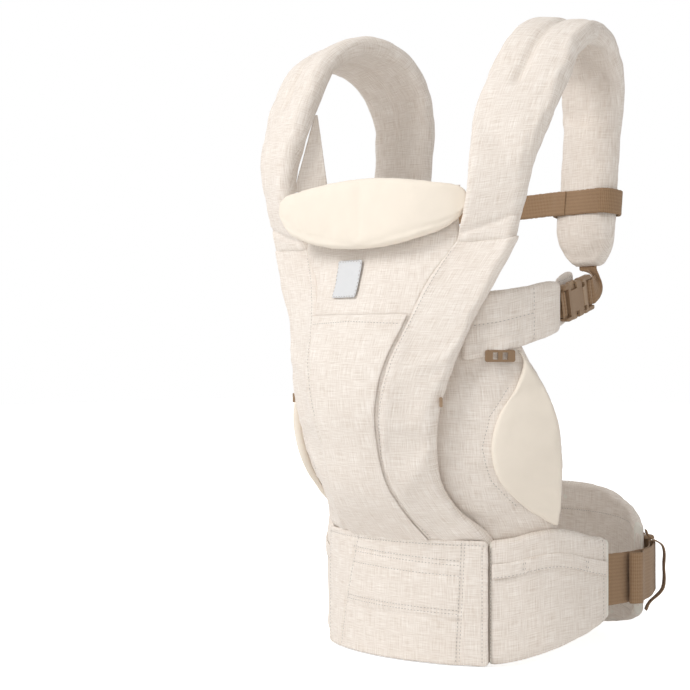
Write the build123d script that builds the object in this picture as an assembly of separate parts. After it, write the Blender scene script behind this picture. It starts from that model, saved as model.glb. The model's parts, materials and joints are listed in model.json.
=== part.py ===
from build123d import *
from math import cos, pi, radians, sin
import os

# Soft baby carrier, worn. Millimetres. +X is the wearer's left, -Y the front (the baby's back),
# +Z up. The origin is on the wearer's torso axis, level with the belt's lowest edge.

# ------------------------------------------------------------------ fabric and foam
CLOTH = 1.5  # wall of a sewn fabric cover
EASE = 0.3  # air between a cover and its foam, or between two layers sewn at their edges
LAYER = 2.0  # a single doubled layer of cloth
WEBBING = 1.6  # thickness of webbing
WIDE_WEBBING = 50.0  # width of the waist webbing
NARROW_WEBBING = 25.0  # width of the chest and under-arm webbing

# ------------------------------------------------------------------ waist belt
BELT_HALF_WIDTH = 170.0  # the belt is an ellipse seen from above
BELT_HALF_DEPTH = 142.0
BELT_CENTRE_Y = 6.0
BELT_HEIGHT = 118.0
BELT_CENTRE_THICK = 16.0
BELT_WING_THICK = 14.0
BELT_SLIT_ANGLE = 37.0  # from the front to where the centre panel's slit meets a wing
SLIT_GAP = 0.2  # degrees between the centre panel and a wing
BELT_END_ANGLE = 85.0  # from the front to a wing's end
BELT_END_RISE = 40.0  # the lower edge climbs this much by the wing's end
BELT_HIP_RISE = 11.0  # the upper edge arches this much over the hip
FRONT_PANEL_THICK = 3.0
POUCH_STRIP_WIDTH = 15.0
POUCH_STRIP_DROP = 22.0  # below the wing's upper edge
WAIST_WEBBING_HEIGHT = 77.0  # middle of the waist webbing above the belt's lower edge
WAIST_BUCKLE_ANGLE = 151.0  # where the buckle's mouth faces the belt's path
WAIST_BUCKLE_DEPTH = -11.0
ROLL_ANGLE = 99.0
ROLL_SIZE = (17.0, 11.0)
ROLL_STAND = 8.0  # middle of the roll outside the webbing

# ------------------------------------------------------------------ lumbar pad
LUMBAR_END_ANGLE = 52.0  # each side of the back's middle
LUMBAR_THICK = 12.0
LUMBAR_DEPTH = 2.0  # middle of the pad, inside the belt's ellipse
LUMBAR_TOP = 155.0
LUMBAR_TOP_DROP = 35.0
LUMBAR_LOW = 5.0
LUMBAR_LOW_RISE = 24.0
LUMBAR_LOOP_WIDTH = 12.0
LUMBAR_LOOP_STAND = 17.5  # height of the webbing tunnel over the pad

# ------------------------------------------------------------------ seat panel and bands
PANEL_THICK = 5.0
POCKET_TOP = 330.0
POCKET_STAND = 1.6  # from the seat panel to the pocket over it
BAND_THICK = 14.0
# height, seam x, seam y, middle y, outer edge x, outer edge y
FRONT_LEVELS = [
    (122, 48, -138, -143, 100, -114),
    (145, 43, -160, -166, 86, -133),
    (170, 36, -175, -181, 81, -150),
    (200, 33, -184, -189, 85, -162),
    (240, 38, -194, -199, 94, -168),
    (280, 46, -191, -197, 106, -163),
    (320, 58, -176, -184, 119, -154),
    (360, 70, -160, -169, 140, -148),
    (395, 95, -149, -161, 156, -139),
]
PANEL_TOP_LEVELS = [(425, 88, -141, -158), (450, 86, -135, -159)]
SEAM_GAP = 1.5  # between a side band and the line of its seam
PANEL_TUCK = 4.0  # the seat panel's edge stops this far short of that line
PATCH_WIDTH = 34.0
PATCH_HEIGHT = 37.0
PATCH_THICK = 1.0
PATCH_X = -20.0
PATCH_Z = 363.0
TOGGLE_SIZE = (3.0, 9.0)
TOGGLE_Z = 248.0

# ------------------------------------------------------------------ shoulder straps
STRAP_THICK = 20.0
STRAP_BACK_WIDTH = 72.0
STRAP_BACK_X = 124.0
STRAP_BACK_Y = 17.5  # at the height of the chest strap
STRAP_BACK_LEAN = 0.10  # towards the back, for each millimetre up
STRAP_BACK_TURN = -10.0  # degrees that the outer edge turns forward
STRAP_TIP_HEIGHT = 375.0
ARCH_FOOT = 480.0
STRAP_RIGHT_RISE = 12.0  # the right strap stands this much higher over its shoulder
CHEST_HEIGHT = 437.0
GUSSET_CORNERS = [(110, -116, 538), (112, -147, 455), (97, -119, 459)]

# ------------------------------------------------------------------ headrest
HEADREST_HALF_WIDTH = 105.0
HEADREST_DROP = 68.0
HEADREST_THICK = 10.0
HEADREST_FOLD_Y = -172.0
HEADREST_FOLD_Z = 453.0
HEADREST_DROOP = 12.0  # how far the fold sinks at its ends
HEADREST_BOW = 28.0  # how far its ends lie behind its middle

# ------------------------------------------------------------------ side wings and leg panels
WING_THICK = 13.0
WING_HALF = 26.0  # half the height of a side wing
WING_ROUTE = [(104, -135, 323), (127, -122, 325), (143, -101, 329), (152, -83, 333)]
UNDERARM_END = Vector(154, -69, 336)
UNDERARM_AIM = Vector(-0.15, 0.95, 0.24)
UNDERARM_HALF = 23.0  # half the height of a side wing's end
ANCHOR_GAP = 5.0  # from the side wing's end to the socket
GUARD_REACH = 36.0
LEG_THICK = 5.0
LEG_PAD_THICK = 7.0
# height, front edge x and y, leg edge x and y, outward bulge, where the leg pad starts
LEG_LEVELS = [
    (131, 84, -108, 144, -56, 4, 0.97),
    (150, 74, -124, 152, -61, 9, 0.66),
    (175, 68, -138, 161, -70, 13, 0.50),
    (205, 69, -147, 166, -77, 15, 0.46),
    (235, 75, -150, 163, -81, 14, 0.52),
    (262, 82, -147, 153, -88, 11, 0.72),
    (285, 88, -142, 142, -98, 7, 0.94),
    (296, 92, -139, 137, -104, 5, 0.97),
]
LOCK_SIZE = (28.0, 11.0, 3.0)
LOCK_PLACE = (130, -124, 290)
LOOP_CLEARANCE = 2.5  # round a shoulder strap, inside the chest strap's loop

# ------------------------------------------------------------------ side release buckles
RUN = 0.4  # running clearance of a moulded part
BUCKLE_RIM = 4.5  # body width beyond each edge of the webbing
BUCKLE_WALL = 2.2
BUCKLE_SKIN = 2.0  # broad faces of the socket
BAR = 1.9  # radius of a webbing bar
BASE = 8.5  # length of the clip's solid base
ARM_PIVOT = 3.0  # from the mouth to the root of an arm
WINDOW = 12.0
LADDER = 14.0
BUTTON_STAND = 0.8  # how far a squeeze arm stands out of its window
NARROW_BUCKLE = dict(web=NARROW_WEBBING, thick=9.0, reach=24.0, arm=4.0)
WIDE_BUCKLE = dict(web=WIDE_WEBBING, thick=12.0, reach=30.0, arm=5.0)


# ------------------------------------------------------------------ shapes that repeat
def ribbon(stations, inset=0.0, rounding=0.46):
    """A soft band lofted through (edge, other edge, thickness, lift) stations, shrunk by inset.
    A lift of 1 puts the band's outer face on the two points, and 0 its middle."""
    middles = [(a + b) * 0.5 for a, b, _, _ in stations]
    last = len(stations) - 1
    aims = [(middles[min(i + 1, last)] - middles[max(i - 1, 0)]).normalized() for i in range(last + 1)]
    if last > 1:
        aims[0] = (aims[0] * 2 - aims[1]).normalized()
        aims[last] = (aims[last] * 2 - aims[last - 1]).normalized()
    sections = []
    for i, (a, b, thick, lift) in enumerate(stations):
        ahead = aims[i]
        across = (b - a).normalized()
        inward = ahead.cross(across).normalized()
        middle = middles[i] + inward * (lift * thick / 2) + ahead * (inset * ((i == 0) - (i == last)))
        plane = Plane(origin=middle, x_dir=across, z_dir=across.cross(inward))
        width = (b - a).length - 2 * inset
        depth = thick - 2 * inset
        sections.append(plane * RectangleRounded(width, depth, rounding * min(width, depth)))
    return loft(sections)


def cover_and_foam(stations):
    """A hollow sewn cover and the foam core in it."""
    cover = ribbon(stations) - ribbon(stations, CLOTH)
    return cover, ribbon(stations, CLOTH + EASE)


def bowed_sheet(levels, inward, thick):
    """A sheet lofted through level arcs (edge, crown, other edge), thickened inward."""
    shift = inward.normalized() * thick
    sections = []
    for a, crown, b in levels:
        outer = ThreePointArc(a, crown, b)
        inner = ThreePointArc(b + shift, crown + shift, a + shift)
        wire = Wire([outer, Line(b, b + shift), inner, Line(a + shift, a)])
        sections.append(Face(wire))
    return loft(sections)


def rounded_block(low, high, corner, edge):
    """A moulded block between two corners, with rounded upright corners and softened rims."""
    size = [h - l for l, h in zip(low, high)]
    middle = Pos(*[(l + h) / 2 for l, h in zip(low, high)])
    block = extrude(RectangleRounded(size[0], size[1], corner), size[2] / 2, both=True)
    rims = block.edges().filter_by_position(Axis.Z, -size[2] / 2 - 0.01, -size[2] / 2 + 0.01)
    rims += block.edges().filter_by_position(Axis.Z, size[2] / 2 - 0.01, size[2] / 2 + 0.01)
    return middle * fillet(rims, edge)


def block(low, high):
    """A plain block between two corners."""
    size = [h - l for l, h in zip(low, high)]
    return Pos(*[(l + h) / 2 for l, h in zip(low, high)]) * Box(*size)


def web_loop(bar_x, direction, leg, web):
    """Webbing turned round a bar, in the buckle's own frame, with two legs along direction."""
    inner = BAR + EASE / 2
    outer = inner + WEBBING
    ring = Circle(outer) - Circle(inner)
    ring -= Pos(direction * outer, 0) * Rectangle(2 * outer, 2 * outer + 1)
    legs = Pos(direction * leg / 2, 0) * (
        Rectangle(leg, 2 * outer) - Rectangle(leg, 2 * inner)
    )
    profile = ring + legs
    return Pos(bar_x, 0, 0) * extrude(Plane.XZ * profile, web / 2, both=True)


def mirrored(solid):
    """The wearer's right-hand copy of a left-hand solid."""
    return mirror(solid, about=Plane.YZ)


# ------------------------------------------------------------------ the belt's own path
def on_belt(angle, depth, height):
    """A point at an angle from the front towards the wearer's left, inside the belt's face."""
    a = radians(angle)
    x = (BELT_HALF_WIDTH - depth) * sin(a)
    y = BELT_CENTRE_Y - (BELT_HALF_DEPTH - depth) * cos(a)
    return Vector(x, y, height)


def along_wing(angle):
    """0 at the slit, 1 at the wing's end."""
    share = (abs(angle) - BELT_SLIT_ANGLE) / (BELT_END_ANGLE - BELT_SLIT_ANGLE)
    return max(0.0, share)


def belt_low(angle):
    return BELT_END_RISE * along_wing(angle) ** 1.4


def belt_high(angle):
    return BELT_HEIGHT + BELT_HIP_RISE * sin(pi * along_wing(angle)) ** 2


def belt_band(first, last, spans, depth, thick, low, high):
    """Stations of a band along the belt, from its low edge to its high one."""
    stations = []
    for i in range(spans + 1):
        angle = first + (last - first) * i / spans
        a = on_belt(angle, depth, low(angle))
        b = on_belt(angle, depth, high(angle))
        stations.append((a, b, thick, 0))
    return stations


def belt_parts():
    """The padded belt: centre, front panel over it, wings and the strips that hold a pouch."""
    parts = {}
    slit, end = BELT_SLIT_ANGLE, BELT_END_ANGLE
    centre_depth = BELT_CENTRE_THICK / 2
    centre = belt_band(-slit, slit, 6, centre_depth, BELT_CENTRE_THICK, belt_low, belt_high)
    parts["belt_centre_cover"], parts["belt_centre_foam"] = cover_and_foam(centre)
    panel_depth = -EASE - FRONT_PANEL_THICK / 2
    panel = belt_band(-slit, slit, 6, panel_depth, FRONT_PANEL_THICK, belt_low, belt_high)
    parts["belt_front_panel"] = ribbon(panel)
    wing = belt_band(slit + SLIT_GAP, end, 6, BELT_WING_THICK / 2, BELT_WING_THICK, belt_low, belt_high)
    cover, foam = cover_and_foam(wing)
    parts["belt_wing_cover_left"], parts["belt_wing_cover_right"] = cover, mirrored(cover)
    parts["belt_wing_foam_left"], parts["belt_wing_foam_right"] = foam, mirrored(foam)

    def strip_high(angle):
        return belt_high(angle) - POUCH_STRIP_DROP

    def strip_low(angle):
        return strip_high(angle) - POUCH_STRIP_WIDTH

    strip_depth = -EASE - LAYER / 2
    strip = ribbon(belt_band(slit + 1, end - 2, 6, strip_depth, LAYER, strip_low, strip_high))
    parts["pouch_strips"] = Compound([strip, mirrored(strip)])
    return parts


# ------------------------------------------------------------------ lumbar pad
def from_middle(angle):
    """0 at the middle of the back, 1 at the pad's end."""
    return abs(angle - 180) / LUMBAR_END_ANGLE


def lumbar_low(angle):
    return LUMBAR_LOW + LUMBAR_LOW_RISE * from_middle(angle) ** 2


def lumbar_high(angle):
    return LUMBAR_TOP - LUMBAR_TOP_DROP * from_middle(angle) ** 2.2


def lumbar_loop():
    """A flat loop sewn over the pad's end, with the waist webbing running under it."""
    angle = 180 - LUMBAR_END_ANGLE + 2.5
    half = LUMBAR_LOOP_WIDTH / 2 / BELT_HALF_WIDTH * 180 / pi
    face = LUMBAR_DEPTH - LUMBAR_THICK / 2 - 3 * EASE - WEBBING / 2
    low, high = lumbar_low(angle) + 6, lumbar_high(angle) - 8
    crest = face - LUMBAR_LOOP_STAND
    reach = WIDE_WEBBING / 2 + 2
    route = [
        (face, low),
        (face - 0.2 * LUMBAR_LOOP_STAND, low + 8),
        (crest, WAIST_WEBBING_HEIGHT - reach + 6),
        (crest - 1, WAIST_WEBBING_HEIGHT),
        (crest, WAIST_WEBBING_HEIGHT + reach - 6),
        (face - 0.2 * LUMBAR_LOOP_STAND, high - 8),
        (face, high),
    ]
    stations = []
    for depth, height in route:
        a = on_belt(angle - half, depth, height)
        b = on_belt(angle + half, depth, height)
        stations.append((a, b, WEBBING, 0))
    return ribbon(stations, rounding=0.3)


def lumbar_parts():
    first, last = 180 - LUMBAR_END_ANGLE, 180 + LUMBAR_END_ANGLE
    pad = belt_band(first, last, 10, LUMBAR_DEPTH, LUMBAR_THICK, lumbar_low, lumbar_high)
    cover, foam = cover_and_foam(pad)
    loop = lumbar_loop()
    return {
        "lumbar_pad_cover": cover,
        "lumbar_pad_foam": foam,
        "lumbar_pad_loops": Compound([loop, mirrored(loop)]),
    }


# ------------------------------------------------------------------ side release buckle
def buckle_width(size):
    return size["web"] + 2 * BUCKLE_RIM


def socket_length(size):
    return size["reach"] + 1 + BUCKLE_WALL + 8


def clip_length():
    return BASE + LADDER


def arm_offset(size):
    """Distance of an arm's root from the buckle's middle line."""
    return buckle_width(size) / 2 - size["arm"] / 2 - BUCKLE_WALL - 1.6


def buckle_socket(size):
    """The female half: x = 0 is its mouth and its webbing bar is at the far end."""
    half, thick, reach = buckle_width(size) / 2, size["thick"], size["reach"]
    back = -socket_length(size)
    body = rounded_block((back, -half, -thick / 2), (0, half, thick / 2), 4, 1.4)
    hollow = thick / 2 - BUCKLE_SKIN
    body -= block((-reach - 1, BUCKLE_WALL - half, -hollow), (1, half - BUCKLE_WALL, hollow))
    window = -reach + 1
    notch = size["arm"] + 2.5
    for side in (-1, 1):
        rim = side * half
        low, high = sorted((rim - side * notch, rim + side * 2))
        body -= block((window, low, -thick), (window + WINDOW, high, thick))
    slot = size["web"] / 2 + 0.7
    body -= block((back - 1, -slot, -thick), (back + 7.5, slot, thick))
    bar = Pos(back + BAR + 0.6, 0, 0) * Rot(90, 0, 0) * Cylinder(BAR, 2 * slot + 1)
    return body + bar


def buckle_clip(size):
    """The male half without its squeeze arms: base, guide tongue and webbing ladder."""
    half, thick, reach = buckle_width(size) / 2, size["thick"], size["reach"]
    body = rounded_block((RUN, -half, -thick / 2), (BASE, half, thick / 2), 2.5, 1.4)
    rail = thick / 2 - 1.2
    body += rounded_block((BASE - 3, -half, -rail), (clip_length(), half, rail), 2.5, 1.0)
    slot = size["web"] / 2 + 0.7
    body -= block((BASE, -slot, -thick), (clip_length() + 1, slot, thick))
    for bar_x in (BASE + 4.5, clip_length() - BAR - 0.6):
        body += Pos(bar_x, 0, 0) * Rot(90, 0, 0) * Cylinder(BAR, 2 * slot + 1)
    tongue = thick / 2 - BUCKLE_SKIN - RUN
    body += block((-reach + 4, -3, -tongue), (RUN + 1, 3, tongue))
    pocket = size["arm"] / 2 + RUN
    for side in (-1, 1):
        root = side * arm_offset(size)
        body -= Pos(ARM_PIVOT, root, 0) * Cylinder(pocket, thick + 1)
        body -= block((-1, root - pocket, -thick), (ARM_PIVOT, root + pocket, thick))
    return body


def buckle_arm(size, side):
    """One squeeze arm, with its root at the pivot and its catch in the window."""
    half, reach, wide = buckle_width(size) / 2, size["reach"], size["arm"]
    tall = size["thick"] / 2 - BUCKLE_SKIN - RUN
    root = arm_offset(size)
    tip = -reach + 0.5
    shoulder = -reach + WINDOW
    catch = [
        (ARM_PIVOT, root - wide / 2),
        (tip, root - wide / 2),
        (tip, root + wide / 2 - 1),
        (tip + 4, half + BUTTON_STAND),
        (shoulder - 1, half + BUTTON_STAND),
        (shoulder, half + BUTTON_STAND - 1),
        (shoulder, root + wide / 2),
        (ARM_PIVOT, root + wide / 2),
    ]
    outline = make_face(Polyline(*catch, close=True)) + Pos(ARM_PIVOT, root) * Circle(wide / 2)
    arm = extrude(outline, tall, both=True)
    return arm if side > 0 else mirror(arm, about=Plane.XZ)


def buckle_parts(name, size, frame):
    """The four moulded pieces of a buckle, placed in its frame."""
    return {
        name + "_socket": frame * buckle_socket(size),
        name + "_clip": frame * buckle_clip(size),
        name + "_arm_upper": frame * buckle_arm(size, 1),
        name + "_arm_lower": frame * buckle_arm(size, -1),
    }


# ------------------------------------------------------------------ waist webbing and buckle
def waist_frame():
    """x runs back along the belt, y is up and z points out."""
    a = radians(WAIST_BUCKLE_ANGLE)
    back = Vector(BELT_HALF_WIDTH * cos(a), BELT_HALF_DEPTH * sin(a), 0).normalized()
    out = back.cross(Vector(0, 0, 1))
    origin = on_belt(WAIST_BUCKLE_ANGLE, WAIST_BUCKLE_DEPTH, WAIST_WEBBING_HEIGHT)
    return Plane(origin=origin, x_dir=back, z_dir=out)


def web_edges(frame, x, z, web):
    """The low and high edges of webbing at a point of a buckle's frame."""
    low = frame.from_local_coords(Vector(x, -web / 2, z))
    high = frame.from_local_coords(Vector(x, web / 2, z))
    return low, high, WEBBING, 0


def on_webbing(angle, depth):
    half = WIDE_WEBBING / 2
    low = on_belt(angle, depth, WAIST_WEBBING_HEIGHT - half)
    high = on_belt(angle, depth, WAIST_WEBBING_HEIGHT + half)
    return low, high, WEBBING, 0


def waist_parts():
    frame = waist_frame()
    size = WIDE_BUCKLE
    parts = buckle_parts("waist_buckle", size, frame)
    web = size["web"]
    leg_z = BAR + EASE / 2 + WEBBING / 2
    leg = 6.0
    # the front webbing: from the left wing, round the socket's bar and back to a rolled tail
    bar_x = -socket_length(size) + BAR + 0.6
    loop = frame * web_loop(bar_x, -1, leg, web)
    end = bar_x - leg
    live = [on_webbing(angle, depth) for angle, depth in ((85.2, 7), (94, 5), (104, 1), (113, -4), (123, -7))]
    live += [web_edges(frame, end + x, -leg_z, web) for x in (-2.5, 0.5)]
    tail = [on_webbing(angle, depth) for angle, depth in ((101, -4), (107, -5), (115, -7.5), (124, -10.5))]
    tail += [web_edges(frame, end + x, leg_z, web) for x in (-2.5, 0.5)]
    roll_at = on_belt(ROLL_ANGLE, 3 - ROLL_STAND, WAIST_WEBBING_HEIGHT)
    roll_turn = Plane(origin=roll_at, x_dir=(sin(radians(20)), cos(radians(20)), 0), z_dir=(0, 0, 1))
    roll = extrude(RectangleRounded(*ROLL_SIZE, 5.4), web / 2, both=True)
    parts["waist_webbing_front"] = loop + ribbon(live) + ribbon(tail) + roll_turn * roll
    # the back webbing: from the right wing, round the back and through the clip's ladder
    bar_x = clip_length() - BAR - 0.6
    loop = frame * web_loop(bar_x, 1, leg, web)
    end = bar_x + leg
    back = [web_edges(frame, end + x, -leg_z, web) for x in (-0.5, 4)]
    route = ((176, -8), (184, -6), (195, -6), (215, -6), (235, -6), (250, -3), (263, 3), (274.8, 7))
    back += [on_webbing(angle, depth) for angle, depth in route]
    parts["waist_webbing_rear"] = loop + ribbon(back)
    return parts


# ------------------------------------------------------------------ seat panel and side bands
def panel_level(height):
    """The panel's (height, edge x, edge y, middle y) at any height, between the listed ones."""
    listed = [level[:4] for level in FRONT_LEVELS] + PANEL_TOP_LEVELS
    for low, high in zip(listed, listed[1:]):
        if height <= high[0]:
            share = (height - low[0]) / (high[0] - low[0])
            return tuple(p + (q - p) * share for p, q in zip(low, high))


def on_panel(x, height, stand):
    """A point in front of the panel's outer face."""
    z, edge_x, edge_y, middle_y = panel_level(height)
    return Vector(x, middle_y + (edge_y - middle_y) * (x / edge_x) ** 2 - stand, z)


def seat_parts():
    parts = {}
    inward = Vector(0, 1, 0)
    levels = [(z, x - PANEL_TUCK, y, mid) for z, x, y, mid, _, _ in FRONT_LEVELS] + PANEL_TOP_LEVELS

    def arcs(chosen, grow):
        return [
            (Vector(-x, y - grow, z), Vector(0, mid - grow, z), Vector(x, y - grow, z))
            for z, x, y, mid in chosen
        ]

    parts["seat_panel"] = bowed_sheet(arcs(levels, 0), inward, PANEL_THICK)
    pocket = [level for level in levels if level[0] < POCKET_TOP]
    pocket.append(panel_level(POCKET_TOP))
    parts["front_pocket"] = bowed_sheet(arcs(pocket, LAYER + POCKET_STAND), inward, LAYER)
    bands = []
    for z, x, y, _, out_x, out_y in FRONT_LEVELS:
        bands.append((Vector(x + SEAM_GAP, y, z), Vector(out_x, out_y, z), BAND_THICK, 1))
    band = ribbon(bands)
    parts["side_band_left"], parts["side_band_right"] = band, mirrored(band)
    patch = []
    for z in (PATCH_Z - PATCH_HEIGHT / 2, PATCH_Z, PATCH_Z + PATCH_HEIGHT / 2):
        across = [PATCH_X + PATCH_WIDTH * share for share in (-0.5, 0, 0.5)]
        patch.append(tuple(on_panel(x, z, 2 * PATCH_THICK) for x in across))
    parts["label_patch"] = bowed_sheet(patch, inward, PATCH_THICK)
    toggle_at = Vector(95.5, -166.0, TOGGLE_Z)
    toggle = Plane(origin=toggle_at, x_dir=(0.5, 0.5, 0), z_dir=(0.7, -0.7, 0))
    piece = toggle * extrude(RectangleRounded(*TOGGLE_SIZE, 1.2), 2.5)
    parts["seat_toggles"] = Compound([piece, mirrored(piece)])
    return parts


# ------------------------------------------------------------------ shoulder straps
def strap_back_point(height):
    """The strap's middle where it hangs down the wearer's back."""
    return Vector(STRAP_BACK_X, STRAP_BACK_Y + STRAP_BACK_LEAN * (height - CHEST_HEIGHT), height)


def strap_across():
    a = radians(STRAP_BACK_TURN)
    return Vector(cos(a), sin(a), 0)


def back_station(height, width, thick, shift=0.0):
    middle = strap_back_point(height) + Vector(shift, 0, 0)
    half = strap_across() * (width / 2)
    return middle - half, middle + half, thick, 0


def strap_stations(rise):
    """From the panel's shoulder, over the wearer's left shoulder and down the back.
    The arch stands higher by rise, fading out towards its feet."""
    z, x, y, _, out_x, out_y = FRONT_LEVELS[-1]
    arch = [
        ((116, -157, 440), (171, -133, 447), 17, 0.5),
        ((116, -150, 478), (180, -126, 483), STRAP_THICK, 0),
        ((113, -139, 510), (187, -115, 512), STRAP_THICK, 0),
        ((113, -120, 545), (191, -101, 542), STRAP_THICK, 0),
        ((114, -92, 583), (190, -78, 573), STRAP_THICK, 0),
        ((107, -48, 602), (186, -48, 588), STRAP_THICK, 0),
        ((97, -4, 595), (178, -13, 582), STRAP_THICK, 0),
        ((90, 23, 566), (168, 13, 557), STRAP_THICK, 0),
        ((88, 31, 532), (162, 20, 528), STRAP_THICK, 0),
    ]
    stations = [(Vector(x + SEAM_GAP, y, z), Vector(out_x, out_y, z), BAND_THICK, 1)]
    for a, b, thick, lift in arch:
        share = max(0.0, (a[2] - ARCH_FOOT) / (arch[5][0][2] - ARCH_FOOT))
        up = Vector(0, 0, rise * min(1.0, share))
        stations.append((Vector(*a) + up, Vector(*b) + up, thick, lift))
    stations += [back_station(z, STRAP_BACK_WIDTH, STRAP_THICK) for z in (500, 470, 440, 410)]
    stations += [back_station(391, 60, 18, 3), back_station(STRAP_TIP_HEIGHT, 31, 13, 6)]
    return stations


def strap_parts():
    parts = {}
    cover, foam = cover_and_foam(strap_stations(0))
    parts["strap_cover_left"], parts["strap_foam_left"] = cover, foam
    cover, foam = cover_and_foam(strap_stations(STRAP_RIGHT_RISE))
    parts["strap_cover_right"], parts["strap_foam_right"] = mirrored(cover), mirrored(foam)
    corner = [Vector(*point) for point in GUSSET_CORNERS]
    normal = (corner[1] - corner[0]).cross(corner[2] - corner[0]).normalized()
    triangle = Face(Wire.make_polygon(corner, close=True))
    gusset = extrude(triangle, LAYER, dir=normal)
    parts["strap_gusset_left"], parts["strap_gusset_right"] = gusset, mirrored(gusset)
    return parts


# ------------------------------------------------------------------ headrest
def headrest_parts():
    """A padded flap, folded down over the front of the panel."""
    stations = []
    spans = 12
    for i in range(spans + 1):
        share = -1 + 2 * i / spans
        x = HEADREST_HALF_WIDTH * share
        drop = HEADREST_DROP * (0.3 + 0.7 * (1 - share**2) ** 0.5)
        y = HEADREST_FOLD_Y + HEADREST_BOW * abs(share) ** 3
        crest = HEADREST_FOLD_Z + HEADREST_THICK / 2
        top = Vector(x, y - 1, crest - HEADREST_DROOP * share**2)
        stations.append((Vector(x, y - 2, crest - drop), top, HEADREST_THICK, 0))
    cover, foam = cover_and_foam(stations)
    return {"headrest_cover": cover, "headrest_foam": foam}


# ------------------------------------------------------------------ under-arm wings and buckles
def underarm_frame():
    """x runs back from socket to clip, y is up and z points out."""
    aim = UNDERARM_AIM.normalized()
    out = aim.cross(Vector(0, 0, 1)).normalized()
    origin = UNDERARM_END + aim * (socket_length(NARROW_BUCKLE) + ANCHOR_GAP) + out * 2
    return Plane(origin=origin, x_dir=aim, z_dir=out)


def underarm_parts():
    parts = {}
    frame = underarm_frame()
    size = NARROW_BUCKLE
    web = size["web"]
    up = Vector(0, 0, 1)
    wing = [(Vector(*p) - up * WING_HALF, Vector(*p) + up * WING_HALF, WING_THICK, 0) for p in WING_ROUTE]
    wing.append((UNDERARM_END - up * UNDERARM_HALF, UNDERARM_END + up * UNDERARM_HALF, WING_THICK, 0))
    aim = UNDERARM_AIM.normalized()
    inner = frame.z_dir * (2 - size["thick"] / 2 - EASE - 1 - LAYER / 2)
    guard = []
    for reach, low, high in ((0, 22, 24), (0.55, 21, 27), (1, 12, 24)):
        middle = UNDERARM_END + aim * (4 + GUARD_REACH * reach) + inner
        guard.append((middle - up * low, middle + up * high, LAYER, 0))
    leg_z = BAR + EASE / 2 + WEBBING / 2
    anchor_bar = -socket_length(size) + BAR + 0.6
    anchor = frame * web_loop(anchor_bar, -1, ANCHOR_GAP - 1.0, web)
    # webbing from the clip's last bar, twisting up to the shoulder strap's end
    clip_bar = clip_length() - BAR - 0.6
    loop = frame * web_loop(clip_bar, 1, 5.0, web)
    low, high, _, _ = web_edges(frame, clip_bar + 4.5, leg_z, web)
    tip_low, tip_high, _, _ = back_station(STRAP_TIP_HEIGHT - 2.5, web, WEBBING, 6)
    middle = (low + high + tip_low + tip_high) * 0.25 + Vector(0, 7, 2)
    turned = (high - low).normalized() + (tip_high - tip_low).normalized() * -1
    half = turned.normalized() * (web / 2)
    live = [
        (low, high, WEBBING, 0),
        (middle - half, middle + half, WEBBING, 0),
        (tip_high, tip_low, WEBBING, 0),
    ]
    webbing = loop + ribbon(live)
    tail = [web_edges(frame, clip_bar + x, -leg_z, web) for x in (4.5, 11, 24)]
    webbing += ribbon(tail)
    left = {
        "side_wing_left": ribbon(wing),
        "buckle_guard_left": ribbon(guard, rounding=0.3),
        "underarm_webbing_left": webbing,
    }
    for name, solid in left.items():
        parts[name] = solid
        parts[name.replace("left", "right")] = mirrored(solid)
    for name, solid in buckle_parts("underarm", size, frame).items():
        parts[name + "_left"] = solid
        parts[name + "_right"] = mirrored(solid)
    parts["underarm_anchors"] = Compound([anchor, mirrored(anchor)])
    return parts


# ------------------------------------------------------------------ leg panels
def leg_point(level, share, stand):
    """A point on a leg panel's outer face, from its front edge (0) to the leg's edge (1)."""
    z, x0, y0, x1, y1, bulge, _ = level
    a, b = Vector(x0, y0, z), Vector(x1, y1, z)
    out = Vector(b.Y - a.Y, a.X - b.X, 0).normalized()
    return a + (b - a) * share + out * (4 * bulge * share * (1 - share) + stand)


def leg_parts():
    inward = Vector(-0.66, 0.75, 0)
    panel = [tuple(leg_point(level, s, 0) for s in (0, 0.5, 1)) for level in LEG_LEVELS]
    stand = LEG_PAD_THICK + 4 * EASE
    pads = []
    for level in LEG_LEVELS:
        start = level[-1]
        pads.append(tuple(leg_point(level, s, stand) for s in (start, (start + 1) / 2, 1)))
    leg_panel = bowed_sheet(panel, inward, LEG_THICK)
    leg_pad = bowed_sheet(pads, inward, LEG_PAD_THICK)
    length, tall, thick = LOCK_SIZE
    lock = rounded_block((-length / 2, -tall / 2, 0), (length / 2, tall / 2, thick), 2, 0.6)
    for x in (-4.6, 4.6):
        lock -= Pos(x, 0, 0) * Box(5, tall - 4.5, 4 * thick)
    frame = Plane(origin=LOCK_PLACE, x_dir=(0.6, 0.8, 0), z_dir=(0.8, -0.6, 0))
    lock = frame * lock
    return {
        "leg_panel_left": leg_panel,
        "leg_panel_right": mirrored(leg_panel),
        "leg_pad_left": leg_pad,
        "leg_pad_right": mirrored(leg_pad),
        "seat_width_locks": Compound([lock, mirrored(lock)]),
    }


# ------------------------------------------------------------------ chest strap
def strap_frame():
    """At the chest strap: x across the left shoulder strap, z up along it."""
    up = Vector(0, STRAP_BACK_LEAN, 1).normalized()
    return Plane(origin=strap_back_point(CHEST_HEIGHT), x_dir=strap_across(), z_dir=up)


def chest_frame():
    """x runs from socket to clip (towards the wearer's right), y up, z towards the front."""
    up = Vector(0, STRAP_BACK_LEAN, 1).normalized()
    side = Vector(-1, 0, 0)
    y = strap_back_point(CHEST_HEIGHT).Y - STRAP_THICK / 2 - LOOP_CLEARANCE - 3
    origin = Vector(6, y, CHEST_HEIGHT)
    return Plane(origin=origin, x_dir=side, z_dir=side.cross(up))


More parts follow.
